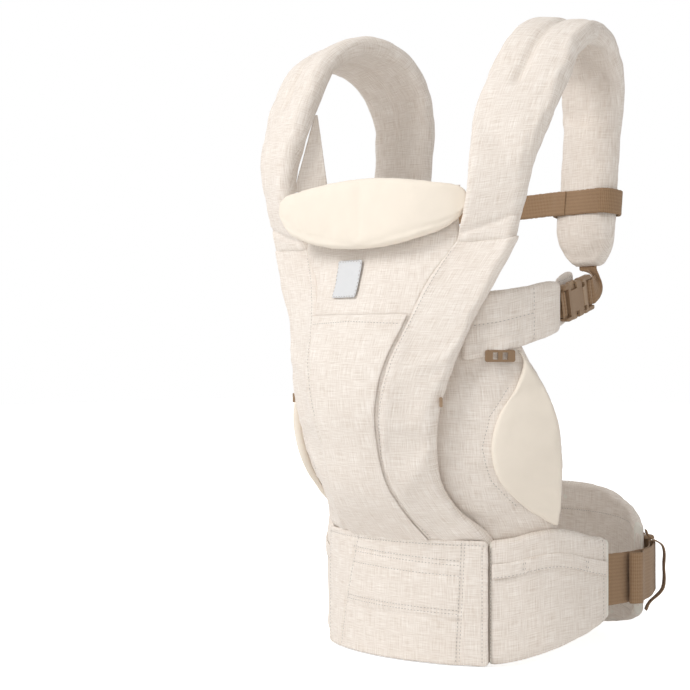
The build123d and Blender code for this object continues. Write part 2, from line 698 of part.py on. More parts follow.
def chest_parts():
    size = NARROW_BUCKLE
    web = size["web"]
    frame = chest_frame()
    parts = buckle_parts("chest", size, frame)
    wide = STRAP_BACK_WIDTH + 2 * LOOP_CLEARANCE
    deep = STRAP_THICK + 2 * LOOP_CLEARANCE
    ring = RectangleRounded(wide + 2 * WEBBING, deep + 2 * WEBBING, 11) - RectangleRounded(wide, deep, 9.4)
    loop = strap_frame() * extrude(ring, web / 2, both=True)
    leg_z = BAR + EASE / 2 + WEBBING / 2
    up = frame.y_dir * (web / 2)
    face = -deep / 2 - WEBBING
    left = []
    for reach, depth in ((14, face + WEBBING / 2), (4, face + WEBBING / 3)):
        point = strap_frame().from_local_coords(Vector(reach - wide / 2, depth, 0))
        left.append((point - up, point + up, WEBBING, 0))
    bar = -socket_length(size) + BAR + 0.6
    left += [web_edges(frame, bar + x, leg_z, web) for x in (-14, -5)]
    left_leg = frame * web_loop(bar, -1, 6.0, web)
    parts["chest_loop_left"] = loop + ribbon(left) + left_leg
    parts["chest_loop_right"] = mirrored(loop)
    bar = clip_length() - BAR - 0.6
    start = strap_frame().from_local_coords(Vector(6 - wide / 2, face - WEBBING / 2 - EASE, 0))
    far = Vector(-start.X, start.Y, start.Z)
    right = [web_edges(frame, bar + x, leg_z, web) for x in (5, 14)]
    right += [(far - up, far + up, WEBBING, 0)]
    parts["chest_webbing"] = frame * web_loop(bar, 1, 6.0, web) + ribbon(right)
    return parts


def main():
    parts = {}
    for group in (
        belt_parts,
        lumbar_parts,
        waist_parts,
        seat_parts,
        strap_parts,
        headrest_parts,
        underarm_parts,
        leg_parts,
        chest_parts,
    ):
        parts.update(group())
    os.makedirs("parts", exist_ok=True)
    for name, solid in parts.items():
        export_step(solid, f"parts/{name}.step")
    print(len(parts), "nodes")


if __name__ == "__main__":
    main()
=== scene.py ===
"""A soft baby carrier in linen, laid out as an add-on and run as a script.

Lengths are in millimetres in the tables and turned into metres where a mesh is made.
+X is the wearer's left, -Y is the side with the baby's back, and +Z is up.
"""

import json
from math import cos, exp, pi, radians, sin, sqrt

import bmesh
import bpy
from bpy.props import FloatProperty, FloatVectorProperty, PointerProperty
from mathutils import Matrix, Vector, noise
from mathutils.bvhtree import BVHTree

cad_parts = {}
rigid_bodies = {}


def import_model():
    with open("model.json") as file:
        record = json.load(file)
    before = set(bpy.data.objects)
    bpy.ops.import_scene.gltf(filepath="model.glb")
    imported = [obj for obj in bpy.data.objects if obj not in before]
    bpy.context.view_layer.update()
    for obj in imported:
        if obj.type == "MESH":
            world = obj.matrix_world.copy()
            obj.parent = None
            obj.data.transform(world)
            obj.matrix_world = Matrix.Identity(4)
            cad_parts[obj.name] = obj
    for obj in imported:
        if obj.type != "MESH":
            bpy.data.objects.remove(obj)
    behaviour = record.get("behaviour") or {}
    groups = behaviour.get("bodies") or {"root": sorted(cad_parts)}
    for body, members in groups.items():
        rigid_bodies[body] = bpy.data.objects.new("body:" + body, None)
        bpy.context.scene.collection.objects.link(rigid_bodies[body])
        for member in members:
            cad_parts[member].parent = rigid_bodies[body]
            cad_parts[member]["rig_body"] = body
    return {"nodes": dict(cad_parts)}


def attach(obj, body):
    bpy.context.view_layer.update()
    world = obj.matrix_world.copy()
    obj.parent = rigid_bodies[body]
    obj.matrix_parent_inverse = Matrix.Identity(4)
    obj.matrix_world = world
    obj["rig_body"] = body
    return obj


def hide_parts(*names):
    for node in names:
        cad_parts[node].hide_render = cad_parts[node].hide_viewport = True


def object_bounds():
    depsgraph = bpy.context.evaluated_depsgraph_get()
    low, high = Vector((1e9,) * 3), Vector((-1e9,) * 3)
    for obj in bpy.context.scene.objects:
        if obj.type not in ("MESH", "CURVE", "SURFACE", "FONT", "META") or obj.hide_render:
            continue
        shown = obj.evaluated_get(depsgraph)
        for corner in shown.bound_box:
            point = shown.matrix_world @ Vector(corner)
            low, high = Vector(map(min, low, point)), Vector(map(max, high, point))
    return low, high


bl_info = {
    "name": "Soft Baby Carrier",
    "version": (1, 0, 0),
    "blender": (4, 5, 0),
    "location": "View3D > Sidebar > Carrier",
    "description": "Builds a linen baby carrier with padded straps, belt and buckles",
    "category": "Object",
}

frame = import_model()
CAD_BOX = [list(corner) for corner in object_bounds()]
MM = 0.001
UP = Vector((0, 0, 1))
CARRIER = "carrier"


# ------------------------------------------------------------------ sizes and colours
def tone(red, green, blue):
    """A colour written in the usual 0 to 255 steps, as the linear values that shaders take."""
    steps = [value / 255 for value in (red, green, blue)]
    return tuple(s / 12.92 if s <= 0.04045 else ((s + 0.055) / 1.055) ** 2.4 for s in steps)


def colour(name, description, default):
    return FloatVectorProperty(
        name=name, description=description, subtype="COLOR", size=3, min=0, max=1, default=default
    )


def length(name, description, millimetres):
    return FloatProperty(
        name=name, description=description, subtype="DISTANCE", default=millimetres * MM
    )


class CarrierColours(bpy.types.PropertyGroup):
    """The colours of the cloth, webbing and moulded pieces."""

    linen_pale: colour("Linen pale thread", "Lighter threads of the linen", tone(246, 240, 233))
    linen_dark: colour("Linen dark thread", "Darker slubs of the linen", tone(198, 182, 167))
    knit: colour("Cream knit", "Smooth lining on the headrest and leg pads", tone(238, 228, 214))
    webbing: colour("Webbing", "Straps and tails", tone(163, 135, 106))
    # the dark webbing colour is painted shade in the hollows between the ribs
    webbing_rib_shade: colour("Webbing shade", "Painted shade between the ribs of the webbing", tone(134, 106, 80))
    plastic: colour("Buckle plastic", "Moulded buckles", tone(140, 114, 88))
    # the lighter buckle edge colour is a painted highlight, where light would catch the edges
    plastic_highlight: colour("Buckle edges", "Painted highlight on the buckle edges", tone(196, 172, 146))
    label: colour("Label", "Blank woven label", tone(212, 213, 215))
    foam: colour("Foam", "Cores of the pads", tone(236, 232, 222))
    floor: colour("Floor", "Plain pale floor", tone(252, 252, 252))


class CarrierSizes(bpy.types.PropertyGroup):
    """The sizes of the sewing."""

    cell: length("Cloth cell", "Spacing of the cloth's mesh before it is refined", 4.6)
    stitch: length("Stitch", "Length of one stitch", 2.3)
    pitch: length("Stitch pitch", "From one stitch to the next", 3.5)
    thread: length("Thread", "Thickness of the sewing thread", 0.7)
    pucker: length("Pucker", "Height of the small folds beside a seam", 0.45)


def sizes():
    return bpy.context.scene.carrier_sizes


def colours():
    return bpy.context.scene.carrier_colours


# ------------------------------------------------------------------ shader groups
# how far each noise is drawn out, in cells for each metre, and its share of the weave
SLUBS = [
    ((1800, 62, 300), 0.38), ((62, 1800, 300), 0.38),
    ((760, 30, 200), 0.09), ((30, 760, 200), 0.09),
]
CLOUD, CLOUD_SHARE = (28, 28, 28), 0.06
WEAVE_LOW, WEAVE_HIGH = 0.30, 0.62  # noise at a dark and at a pale thread
WEAVE_PITCH, RIB_PITCH = 0.0011, 0.0017
# where and how strongly the painted highlight on the buckle edges shows
HIGHLIGHT_FROM, HIGHLIGHT_FULL, HIGHLIGHT_AMOUNT = 0.52, 0.62, 0.6
CLOTH_ROUGH, PLASTIC_ROUGH, FLOOR_ROUGH = 0.92, 0.42, 0.95


def add_node(tree, kind, **values):
    """A node with its settings, and its inputs by name."""
    made = tree.nodes.new(kind)
    for key, value in values.items():
        if key in made.inputs:
            made.inputs[key].default_value = value
        else:
            setattr(made, key, value)
    return made


def math_node(tree, operation, first, second=None):
    made = tree.nodes.new("ShaderNodeMath")
    made.operation = operation
    for slot, value in zip(made.inputs, (first, second)):
        if value is None:
            continue
        if isinstance(value, (int, float)):
            slot.default_value = value
        else:
            tree.links.new(value, slot)
    return made.outputs[0]


def mix_colours(tree, factor, first, second, blend="MIX"):
    made = tree.nodes.new("ShaderNodeMix")
    made.data_type = "RGBA"
    made.blend_type = blend
    for slot, value in ((made.inputs[0], factor), (made.inputs[6], first), (made.inputs[7], second)):
        if isinstance(value, (int, float)):
            slot.default_value = value
        elif isinstance(value, bpy.types.NodeSocket):
            tree.links.new(value, slot)
        else:
            slot.default_value = (*value, 1)
    return made.outputs[2]


def new_group(name, inputs, outputs):
    group = bpy.data.node_groups.new(name, "ShaderNodeTree")
    for label, kind, value in inputs:
        socket = group.interface.new_socket(label, in_out="INPUT", socket_type=kind)
        if value is not None:
            socket.default_value = value
    for label, kind in outputs:
        group.interface.new_socket(label, in_out="OUTPUT", socket_type=kind)
    start = group.nodes.new("NodeGroupInput")
    end = group.nodes.new("NodeGroupOutput")
    return group, start, end


def stretched_noise(tree, vector, stretch, detail=2.0, rough=0.55):
    """Noise drawn out along one axis or another, by cells for each metre."""
    scaled = add_node(tree, "ShaderNodeVectorMath", operation="MULTIPLY")
    tree.links.new(vector, scaled.inputs[0])
    scaled.inputs[1].default_value = stretch
    made = add_node(tree, "ShaderNodeTexNoise", Scale=1.0, Detail=detail, Roughness=rough)
    tree.links.new(scaled.outputs[0], made.inputs["Vector"])
    return made.outputs["Fac"]


def ramp(tree, value, low, high):
    made = add_node(tree, "ShaderNodeMapRange", clamp=True)
    made.inputs["From Min"].default_value = low
    made.inputs["From Max"].default_value = high
    tree.links.new(value, made.inputs["Value"])
    return made.outputs["Result"]


def weave_group():
    """Slubbed plain weave: uneven threads both ways and the small pillows where they cross."""
    group, start, end = new_group(
        "Slubbed weave",
        [("Vector", "NodeSocketVector", None), ("Thread Pitch", "NodeSocketFloat", WEAVE_PITCH)],
        [("Tone", "NodeSocketFloat"), ("Height", "NodeSocketFloat")],
    )
    vector = start.outputs["Vector"]
    streaks = [(stretched_noise(group, vector, stretch), share) for stretch, share in SLUBS]
    streaks.append((stretched_noise(group, vector, CLOUD, 3.0), CLOUD_SHARE))
    total = 0.0
    for value, share in streaks:
        total = math_node(group, "ADD", math_node(group, "MULTIPLY", value, share), total)
    group.links.new(ramp(group, total, WEAVE_LOW, WEAVE_HIGH), end.inputs["Tone"])
    apart = add_node(group, "ShaderNodeSeparateXYZ")
    group.links.new(vector, apart.inputs[0])
    turns = math_node(group, "DIVIDE", 2 * pi, start.outputs["Thread Pitch"])
    across = math_node(group, "SINE", math_node(group, "MULTIPLY", apart.outputs["X"], turns))
    along = math_node(group, "SINE", math_node(group, "MULTIPLY", apart.outputs["Y"], turns))
    pillows = math_node(group, "MULTIPLY", across, along)
    height = math_node(group, "ADD", math_node(group, "MULTIPLY", pillows, 0.25), total)
    group.links.new(height, end.inputs["Height"])
    return group


def ribs_group():
    """The ribs of woven webbing, across its length, with a fine herringbone, and a tone that is darker in
    the hollows between the ribs as painted shade.
    """
    group, start, end = new_group(
        "Webbing ribs",
        [("Vector", "NodeSocketVector", None), ("Rib Pitch", "NodeSocketFloat", RIB_PITCH)],
        [("Tone", "NodeSocketFloat"), ("Height", "NodeSocketFloat")],
    )
    vector = start.outputs["Vector"]
    apart = add_node(group, "ShaderNodeSeparateXYZ")
    group.links.new(vector, apart.inputs[0])
    turns = math_node(group, "DIVIDE", 2 * pi, start.outputs["Rib Pitch"])
    ribs = math_node(group, "SINE", math_node(group, "MULTIPLY", apart.outputs["Y"], turns))
    half = math_node(group, "MULTIPLY", turns, 0.5)
    cords = math_node(group, "SINE", math_node(group, "MULTIPLY", apart.outputs["X"], half))
    ribs, cords = math_node(group, "MULTIPLY", ribs, 0.6), math_node(group, "MULTIPLY", cords, 0.3)
    zigzag = math_node(group, "ADD", ribs, cords)
    fibres = stretched_noise(group, vector, (900, 900, 900), 3.0)
    height = math_node(group, "ADD", math_node(group, "MULTIPLY", zigzag, 0.5), fibres)
    group.links.new(height, end.inputs["Height"])
    # tone follows the height: painted shade in the hollows between the ribs, mixed with the real mottling
    # of the fibres
    group.links.new(ramp(group, height, -0.1, 1.0), end.inputs["Tone"])
    return group


def edge_highlight_group():
    """A painted highlight on the sharp edges of moulded pieces, broken up by a faint mottling, and their
    fine grain.
    """
    group, start, end = new_group(
        "Edge wear",
        [
            ("Colour", "NodeSocketColor", None),
            ("Worn", "NodeSocketColor", None),
            ("Amount", "NodeSocketFloat", HIGHLIGHT_AMOUNT),
        ],
        [("Colour", "NodeSocketColor"), ("Grain", "NodeSocketFloat")],
    )
    sharp = add_node(group, "ShaderNodeNewGeometry")
    # painted highlight: the sharpest edges are lightened as if light caught them
    edge = ramp(group, sharp.outputs["Pointiness"], HIGHLIGHT_FROM, HIGHLIGHT_FULL)
    where = add_node(group, "ShaderNodeTexCoord")
    blotch = stretched_noise(group, where.outputs["Object"], (160, 160, 160), 3.0)
    grain = stretched_noise(group, where.outputs["Object"], (2600, 2600, 2600), 2.0)
    patchy = math_node(group, "MULTIPLY", edge, blotch)
    highlight_share = math_node(group, "MULTIPLY", patchy, start.outputs["Amount"])
    highlighted = mix_colours(group, highlight_share, start.outputs["Colour"], start.outputs["Worn"])
    group.links.new(highlighted, end.inputs["Colour"])
    group.links.new(grain, end.inputs["Grain"])
    return group


# ------------------------------------------------------------------ materials
GROUPS = {}
FINISHES = {}


def shader_group(tree, name):
    """A shared group placed in a material."""
    builders = {"weave": weave_group, "ribs": ribs_group, "wear": edge_highlight_group}
    if name not in GROUPS:
        GROUPS[name] = builders[name]()
    made = tree.nodes.new("ShaderNodeGroup")
    made.node_tree = GROUPS[name]
    return made


def new_finish(name, roughness, sheen=0.0):
    material = bpy.data.materials.new(name)
    material.use_nodes = True
    tree = material.node_tree
    shader = tree.nodes["Principled BSDF"]
    shader.inputs["Roughness"].default_value = roughness
    shader.inputs["Sheen Weight"].default_value = sheen
    shader.inputs["Specular IOR Level"].default_value = 0.25
    return material, tree, shader


def coordinates(tree, mapped):
    """The cloth's own map where it has one, and the object's coordinates elsewhere."""
    if mapped:
        made = add_node(tree, "ShaderNodeUVMap", uv_map="cloth")
        return made.outputs["UV"]
    return tree.nodes.new("ShaderNodeTexCoord").outputs["Object"]


def add_bump(tree, shader, height, strength, distance):
    bump = add_node(tree, "ShaderNodeBump", Strength=strength, Distance=distance)
    tree.links.new(height, bump.inputs["Height"])
    tree.links.new(bump.outputs["Normal"], shader.inputs["Normal"])
    return bump


def woven_finish(name, group, pale, dark, mapped, strength, distance, sheen=0.15):
    material, tree, shader = new_finish(name, CLOTH_ROUGH, sheen)
    vector = coordinates(tree, mapped)
    threads = shader_group(tree, group)
    tree.links.new(vector, threads.inputs["Vector"])
    clouds = ramp(tree, stretched_noise(tree, vector, (22, 22, 22), 2.0), 0.3, 0.7)
    base = mix_colours(tree, threads.outputs["Tone"], dark, pale)
    shade = mix_colours(tree, math_node(tree, "MULTIPLY", clouds, 0.10), base, dark)
    tree.links.new(shade, shader.inputs["Base Color"])
    add_bump(tree, shader, threads.outputs["Height"], strength, distance)
    return material


def plain_finish(name, base, shade, grain, mapped, strength, roughness, sheen=0.2):
    """Smooth knit, foam or label cloth: a fine grain with a faint change of tone."""
    material, tree, shader = new_finish(name, roughness, sheen)
    vector = coordinates(tree, mapped)
    clouds = ramp(tree, stretched_noise(tree, vector, (45, 45, 45), 4.0), 0.25, 0.75)
    fine = stretched_noise(tree, vector, (grain, grain, grain), 3.0)
    clouds, halved = math_node(tree, "MULTIPLY", clouds, 0.5), math_node(tree, "MULTIPLY", fine, 0.5)
    both = math_node(tree, "ADD", clouds, halved)
    tree.links.new(mix_colours(tree, both, shade, base), shader.inputs["Base Color"])
    add_bump(tree, shader, fine, strength, 0.0004)
    return material


def plastic_finish(name):
    material, tree, shader = new_finish(name, PLASTIC_ROUGH)
    wear = shader_group(tree, "wear")
    # the lighter edge colour is a painted highlight
    wear.inputs["Colour"].default_value = (*colours().plastic, 1)
    wear.inputs["Worn"].default_value = (*colours().plastic_highlight, 1)
    tree.links.new(wear.outputs["Colour"], shader.inputs["Base Color"])
    tree.links.new(ramp_rough(tree, wear.outputs["Grain"]), shader.inputs["Roughness"])
    add_bump(tree, shader, wear.outputs["Grain"], 0.12, 0.0003)
    return material


def ramp_rough(tree, grain):
    """A roughness that changes a little with the grain."""
    return math_node(tree, "ADD", math_node(tree, "MULTIPLY", grain, 0.22), 0.34)


def darker(value, share):
    return tuple(channel * share for channel in value)


def finish(name):
    """A finish by name, made the first time that it is asked for."""
    tints = colours()
    woven = {
        "linen": ("Linen", "weave", tints.linen_pale, tints.linen_dark, True, 0.5, 0.0005),
        # the webbing's dark colour is painted shade in the hollows between its ribs
        "webbing": ("Webbing", "ribs", tints.webbing, tints.webbing_rib_shade, True, 0.6, 0.0004),
    }
    # label, colour, shares of it in the light and in the shade, grain, mapped, strength, roughness
    plain = {
        "knit": ("Cream knit", tints.knit, 1, 0.93, 1400, True, 0.25, 0.85),
        "foam": ("Foam core", tints.foam, 1, 0.85, 900, False, 0.5, 0.85),
        "label": ("Woven label", tints.label, 1, 0.94, 1500, True, 0.2, 0.6),
        "thread": ("Thread", tints.linen_pale, 0.5, 0.4, 2400, False, 0.2, 0.85),
        "brown thread": ("Webbing thread", tints.webbing, 0.8, 0.6, 2400, False, 0.2, 0.85),
    }
    if name in FINISHES:
        return FINISHES[name]
    if name in woven:
        FINISHES[name] = woven_finish(*woven[name])
    elif name in plain:
        label, tint, base, shade, *rest = plain[name]
        FINISHES[name] = plain_finish(label, darker(tint, base), darker(tint, shade), *rest)
    else:
        FINISHES[name] = plastic_finish("Buckle plastic")
    return FINISHES[name]


# ------------------------------------------------------------------ smooth forms through stations
def between(values, marks, mark):
    """The value at a mark on a smooth line through the listed values."""
    last = len(marks) - 1
    i = 0
    while i < last - 1 and mark > marks[i + 1]:
        i += 1
    start, end = values[i], values[i + 1]
    step = marks[i + 1] - marks[i]
    back = marks[i] - marks[i - 1] if i > 0 else step
    ahead = marks[i + 2] - marks[i + 1] if i + 2 <= last else step
    before = values[i - 1] if i > 0 else start * 2 - end
    after = values[i + 2] if i + 2 <= last else end * 2 - start
    leave = (end - before) * (step / (step + back))
    arrive = (after - start) * (step / (step + ahead))
    t = (mark - marks[i]) / step
    return (
        start * (2 * t**3 - 3 * t**2 + 1)
        + leave * (t**3 - 2 * t**2 + t)
        + end * (3 * t**2 - 2 * t**3)
        + arrive * (t**3 - t**2)
    )


def distances(points):
    """How far along the line each point is."""
    marks = [0.0]
    for a, b in zip(points, points[1:]):
        marks.append(marks[-1] + (b - a).length)
    return marks


class Band:
    """A padded band through stations of (edge, other edge, thickness, lift)."""

    def __init__(self, stations, inset=0.0):
        centres = [(a + b) * 0.5 for a, b, _, _ in stations]
        last = len(stations) - 1
        aims = []
        for i in range(last + 1):
            aims.append((centres[min(i + 1, last)] - centres[max(i - 1, 0)]).normalized())
        if last > 1:
            aims[0] = (aims[0] * 2 - aims[1]).normalized()
            aims[last] = (aims[last] * 2 - aims[last - 1]).normalized()
        self.centres, self.across, self.inward, self.widths, self.thicks = [], [], [], [], []
        for i, (a, b, thick, lift) in enumerate(stations):
            across = (b - a).normalized()
            inward = aims[i].cross(across).normalized()
            shift = aims[i] * (inset * ((i == 0) - (i == last)))
            self.centres.append(centres[i] + inward * (lift * thick / 2) + shift)
            self.across.append(across)
            self.inward.append(inward)
            self.widths.append((b - a).length - 2 * inset)
            self.thicks.append(thick - 2 * inset)
        self.marks = distances(self.centres)
        self.length = self.marks[-1]
        self.width = max(self.widths)
        self.known = {}

    def section(self, v):
        """(centre, across, inward, width, thickness) at a share of the length."""
        if v not in self.known:
            mark = v * self.length
            rows = (self.centres, self.across, self.inward, self.widths, self.thicks)
            centre, across, inward, width, thick = [between(row, self.marks, mark) for row in rows]
            self.known[v] = centre, across.normalized(), inward.normalized(), width, thick
        return self.known[v]

    def place(self, u, v, w):
        centre, across, inward, width, thick = self.section(v)
        return centre + across * (u * width / 2) + inward * (w * thick / 2)

    def thick_at(self, v):
        return self.section(v)[4]

    def width_at(self, v):
        return self.section(v)[3]


class Sheet:
    """A bowed sheet through level arcs (edge, crown, other edge), thickened inward."""

    def __init__(self, levels, inward, thick):
        self.rows = [[Vector(level[i]) for level in levels] for i in range(3)]
        self.shift = Vector(inward).normalized() * thick
        self.marks = distances(self.rows[1])
        self.length = self.marks[-1]
        self.thick = thick
        self.width = max((c - a).length + (b - c).length for a, c, b in levels)
        self.known = {}

    def section(self, v):
        if v not in self.known:
            mark = v * self.length
            self.known[v] = [between(row, self.marks, mark) for row in self.rows]
        return self.known[v]

    def place(self, u, v, w):
        a, crown, b = self.section(v)
        point = a * (u * (u - 1) / 2) + crown * (1 - u * u) + b * (u * (u + 1) / 2)
        return point + self.shift * ((w + 1) / 2)

    def thick_at(self, v):
        return self.thick

    def width_at(self, v):
        a, crown, b = self.section(v)
        return (crown - a).length + (b - crown).length


# ------------------------------------------------------------------ sewing a form
CROWN_RUN = 30  # how far from a piece's end its crown is full
SPREAD_ACROSS, SPREAD_ALONG = 0.5, 0.12  # how much closer the cuts lie at the edges
BACK_SHIFT = 900  # the back face's place on the cloth's map, beside the front's
WELD = 0.02 * MM
CLOTH_QUALITY, CLOTH_MASS = 4, 0.2
SEWN_REACH = 0.55  # cuts this near to a seam, in cells, are held by it
# folds: the length of each in millimetres, its height, and how far it reaches from an edge or a seam
EDGE_FOLD, EDGE_FOLD_SHARE, EDGE_FOLD_REACH = 9, 0.8, 12
SLOW_FOLD, SLOW_FOLD_HEIGHT = 26, 0.35
SEAM_FOLD, SEAM_FOLD_REACH, SEAM_FAR = 5, 7, 22


def spread(x, share):
    """Moves evenly spaced cuts towards the edges, where a pad turns."""
    return (1 - share) * x + share * sin(pi / 2 * x)


def rounded(distance, radius):
    """How full a pad is at this distance from its edge."""
    share = min(1.0, max(0.0, distance / radius))
    return sqrt(1 - (1 - share) ** 2)


def to_route(s, t, route):
    """The distance of a place on the cloth from a route of sewing on it."""
    nearest = 1e9
    for (x0, y0), (x1, y1) in zip(route, route[1:]):
        dx, dy = x1 - x0, y1 - y0
        share = ((s - x0) * dx + (t - y0) * dy) / max(dx * dx + dy * dy, 1e-9)
        share = min(1.0, max(0.0, share))
        gap = (s - x0 - dx * share) ** 2 + (t - y0 - dy * share) ** 2
        nearest = min(nearest, gap)
    return sqrt(nearest)


def read_table(mesh):
    """Where each corner of a piece lies: across (u), along (v) and on which face (side)."""
    return {key: [item.value for item in mesh.attributes[key].data] for key in ("u", "v", "side")}


class Seam:
    """A route of sewing over a piece, in shares of its width (-1 to 1) and length (0 to 1)."""

    def __init__(self, route, depth=0.9, reach=2.2, rows=(), side=1, stitched=True):
        self.route, self.depth, self.reach = route, depth, reach
        self.rows, self.side, self.stitched = rows, side, stitched


class Sewn:
    """One piece of sewn cloth or padding, from its form to its finished mesh."""

    def __init__(
        self, name, form, outer, cell=None, edge=None, end=3.0, corner=0.0, crown=0.0,
        seams=(), run_on=(0.0, 0.0), widen=0.0,
    ):
        self.name, self.form, self.outer, self.seams = name, form, outer, list(seams)
        self.edge, self.end, self.corner, self.crown = edge, end, corner, crown
        self.run_on, self.widen = run_on, widen
        cell = cell or sizes().cell / MM
        across = max(8, round(form.width / cell))
        along = max(6, round(form.length / cell))
        bm = bmesh.new()
        u_layer = bm.verts.layers.float.new("u")
        v_layer = bm.verts.layers.float.new("v")
        side_layer = bm.verts.layers.float.new("side")
        bmesh.ops.create_grid(bm, x_segments=across, y_segments=along, size=1)
        for vert in bm.verts:
            vert[side_layer] = 1
        copied = bmesh.ops.duplicate(bm, geom=bm.verts[:] + bm.edges[:] + bm.faces[:])["geom"]
        for item in copied:
            if isinstance(item, bmesh.types.BMVert):
                item[side_layer] = -1
        backs = [item for item in copied if isinstance(item, bmesh.types.BMFace)]
        bmesh.ops.reverse_faces(bm, faces=backs)
        for vert in bm.verts:
            u, v = spread(vert.co.x, SPREAD_ACROSS), (spread(vert.co.y, SPREAD_ALONG) + 1) / 2
            v = round(v, 6)
            vert[u_layer], vert[v_layer] = u, v
            vert.co = self.skin(u, v, vert[side_layer]) * MM
        cloth = bm.loops.layers.uv.new("cloth")
        for face in bm.faces:
            back = sum(vert[side_layer] for vert in face.verts) < 0
            for loop in face.loops:
                u, v = loop.vert[u_layer], loop.vert[v_layer]
                s = u * form.width_at(v) / 2
                loop[cloth].uv = ((s + BACK_SHIFT * back) * MM, v * form.length * MM)
        rim = [vert for vert in bm.verts if vert.is_boundary]
        bmesh.ops.remove_doubles(bm, verts=rim, dist=WELD)
        bmesh.ops.recalc_face_normals(bm, faces=bm.faces)
        for face in bm.faces:
            face.smooth = True
        self.obj = new_object(name, bm)

    def skin(self, u, v, side):
        """A point on the piece's skin before any cloth work, in millimetres."""
        form = self.form
        thick, width = form.thick_at(v), form.width_at(v)
        from_end = min(v, 1 - v) * form.length
        narrow = 0.0
        if self.corner and from_end < self.corner:
            narrow = self.corner - sqrt(self.corner**2 - (self.corner - from_end) ** 2)
        u_in = u * (1 - 2 * narrow / width)
        radius = self.edge or thick / 2
        full = rounded((1 - abs(u)) * width / 2, radius) * rounded(from_end, self.end)
        bulge = self.crown / (thick / 2) * (1 - u * u) * min(1.0, from_end / CROWN_RUN)
        u_in *= 1 + 2 * self.widen / width
        start, finish = self.run_on
        run = -start * (1 - v) ** 8 + finish * v**8
        point = form.place(u_in, v, self.outer * side * (full + bulge))
        if not run:
            return point
        step = 0.004
        ahead = form.place(0, min(1.0, v + step), 0) - form.place(0, max(0.0, v - step), 0)
        return point + ahead.normalized() * run

    def outward(self, u, v, side):
        """The direction straight out of the piece."""
        step = 0.01
        du = self.form.place(u + step, v, 0) - self.form.place(u - step, v, 0)
        low, high = max(0.0, v - step), min(1.0, v + step)
        dv = self.form.place(u, high, 0) - self.form.place(u, low, 0)
        normal = du.cross(dv).normalized()
        through = self.form.place(u, v, self.outer * side) - self.form.place(u, v, 0)
        return normal if normal.dot(through) > 0 else -normal

    def on_cloth(self, route):
        """A route in millimetres over the cloth."""
        return [(u * self.form.width_at(v) / 2, v * self.form.length) for u, v in route]

    def settle(self, pressure=4.0, grow=0.03, cap=2.0, bending=2.0, frames=20):
        """Fills the piece with air and lets its cloth pucker between the seams."""
        obj = self.obj
        rest = [vert.co.copy() for vert in obj.data.vertices]
        values = read_table(obj.data)
        routes = [(self.on_cloth(seam.route), seam.side) for seam in self.seams if seam.depth]
        reach = sizes().cell / MM * SEWN_REACH
        sewn = []
        for i, (u, v, side) in enumerate(zip(values["u"], values["v"], values["side"])):
            s, t = u * self.form.width_at(round(v, 6)) / 2, v * self.form.length
            at_rim = abs(u) > 0.995 or v < 0.004 or v > 0.996
            if at_rim or any(side == where and to_route(s, t, route) < reach for route, where in routes):
                sewn.append(i)
        group = obj.vertex_groups.new(name="sewn")
        group.add(sewn, 1.0, "REPLACE")
        cloth = obj.modifiers.new("Puff", "CLOTH")
        settings = cloth.settings
        settings.quality = CLOTH_QUALITY
        settings.mass = CLOTH_MASS
        settings.use_pressure = True
        settings.uniform_pressure_force = pressure
        settings.vertex_group_mass = "sewn"
        settings.bending_stiffness = bending
        settings.shrink_min = -grow
        settings.effector_weights.gravity = 0
        cloth.point_cache.frame_start = 1
        cloth.point_cache.frame_end = frames
        scene = bpy.context.scene
        for step in range(1, frames + 1):
            scene.frame_set(step)
        graph = bpy.context.evaluated_depsgraph_get()
        puffed = [vert.co.copy() for vert in obj.evaluated_get(graph).data.vertices]
        obj.modifiers.remove(cloth)
        obj.vertex_groups.remove(group)
        scene.frame_set(1)
        for vert, start, end in zip(obj.data.vertices, rest, puffed):
            move = end - start
            far = move.length
            if far > cap * MM:
                move *= (cap * MM * (2 - cap * MM / far)) / far * 0.75
            vert.co = start + move
        return self

    def refine(self, levels=1):
        """Finer cloth, with the pull of each seam and the small folds beside it."""
        obj = self.obj
        smooth = obj.modifiers.new("Finer", "SUBSURF")
        smooth.levels = smooth.render_levels = levels
        graph = bpy.context.evaluated_depsgraph_get()
        mesh = bpy.data.meshes.new_from_object(obj.evaluated_get(graph))
        obj.modifiers.clear()
        old = obj.data
        obj.data = mesh
        mesh.name = self.name
        bpy.data.meshes.remove(old)
        normals = [vert.normal.copy() for vert in mesh.vertices]
        table = read_table(mesh)
        routes = [(self.on_cloth(seam.route), seam) for seam in self.seams if seam.depth]
        pucker = sizes().pucker / MM
        seed = sum(map(ord, self.name)) % 97
        for i, vert in enumerate(mesh.vertices):
            u, v, side = table["u"][i], table["v"][i], table["side"][i]
            v = min(1.0, max(0.0, v))
            width = self.form.width_at(round(v, 4))
            s, t = u * width / 2, v * self.form.length
            where = Vector((s / EDGE_FOLD, t / EDGE_FOLD, seed + 10 * side))
            rim = width / 2 - abs(s)
            move = pucker * EDGE_FOLD_SHARE * noise.noise(where) * exp(-rim / EDGE_FOLD_REACH)
            slow = Vector((s / SLOW_FOLD, t / SLOW_FOLD, seed + 5 * side))
            move += SLOW_FOLD_HEIGHT * noise.noise(slow)
            for route, seam in routes:
                if seam.side * side < 0.5:
                    continue
                gap = to_route(s, t, route)
                if gap > SEAM_FAR:
                    continue
                move -= seam.depth * exp(-((gap / seam.reach) ** 2))
                fold = noise.noise(Vector((s / SEAM_FOLD, t / SEAM_FOLD, seed)))
                move += pucker * fold * exp(-gap / SEAM_FOLD_REACH)
            vert.co += normals[i] * (move * MM)
        for key in ("u", "v", "side"):
            mesh.attributes.remove(mesh.attributes[key])
        return self

    def tree(self):
        bm = bmesh.new()
        bm.from_mesh(self.obj.data)
        made = BVHTree.FromBMesh(bm)
        bm.free()
        return made

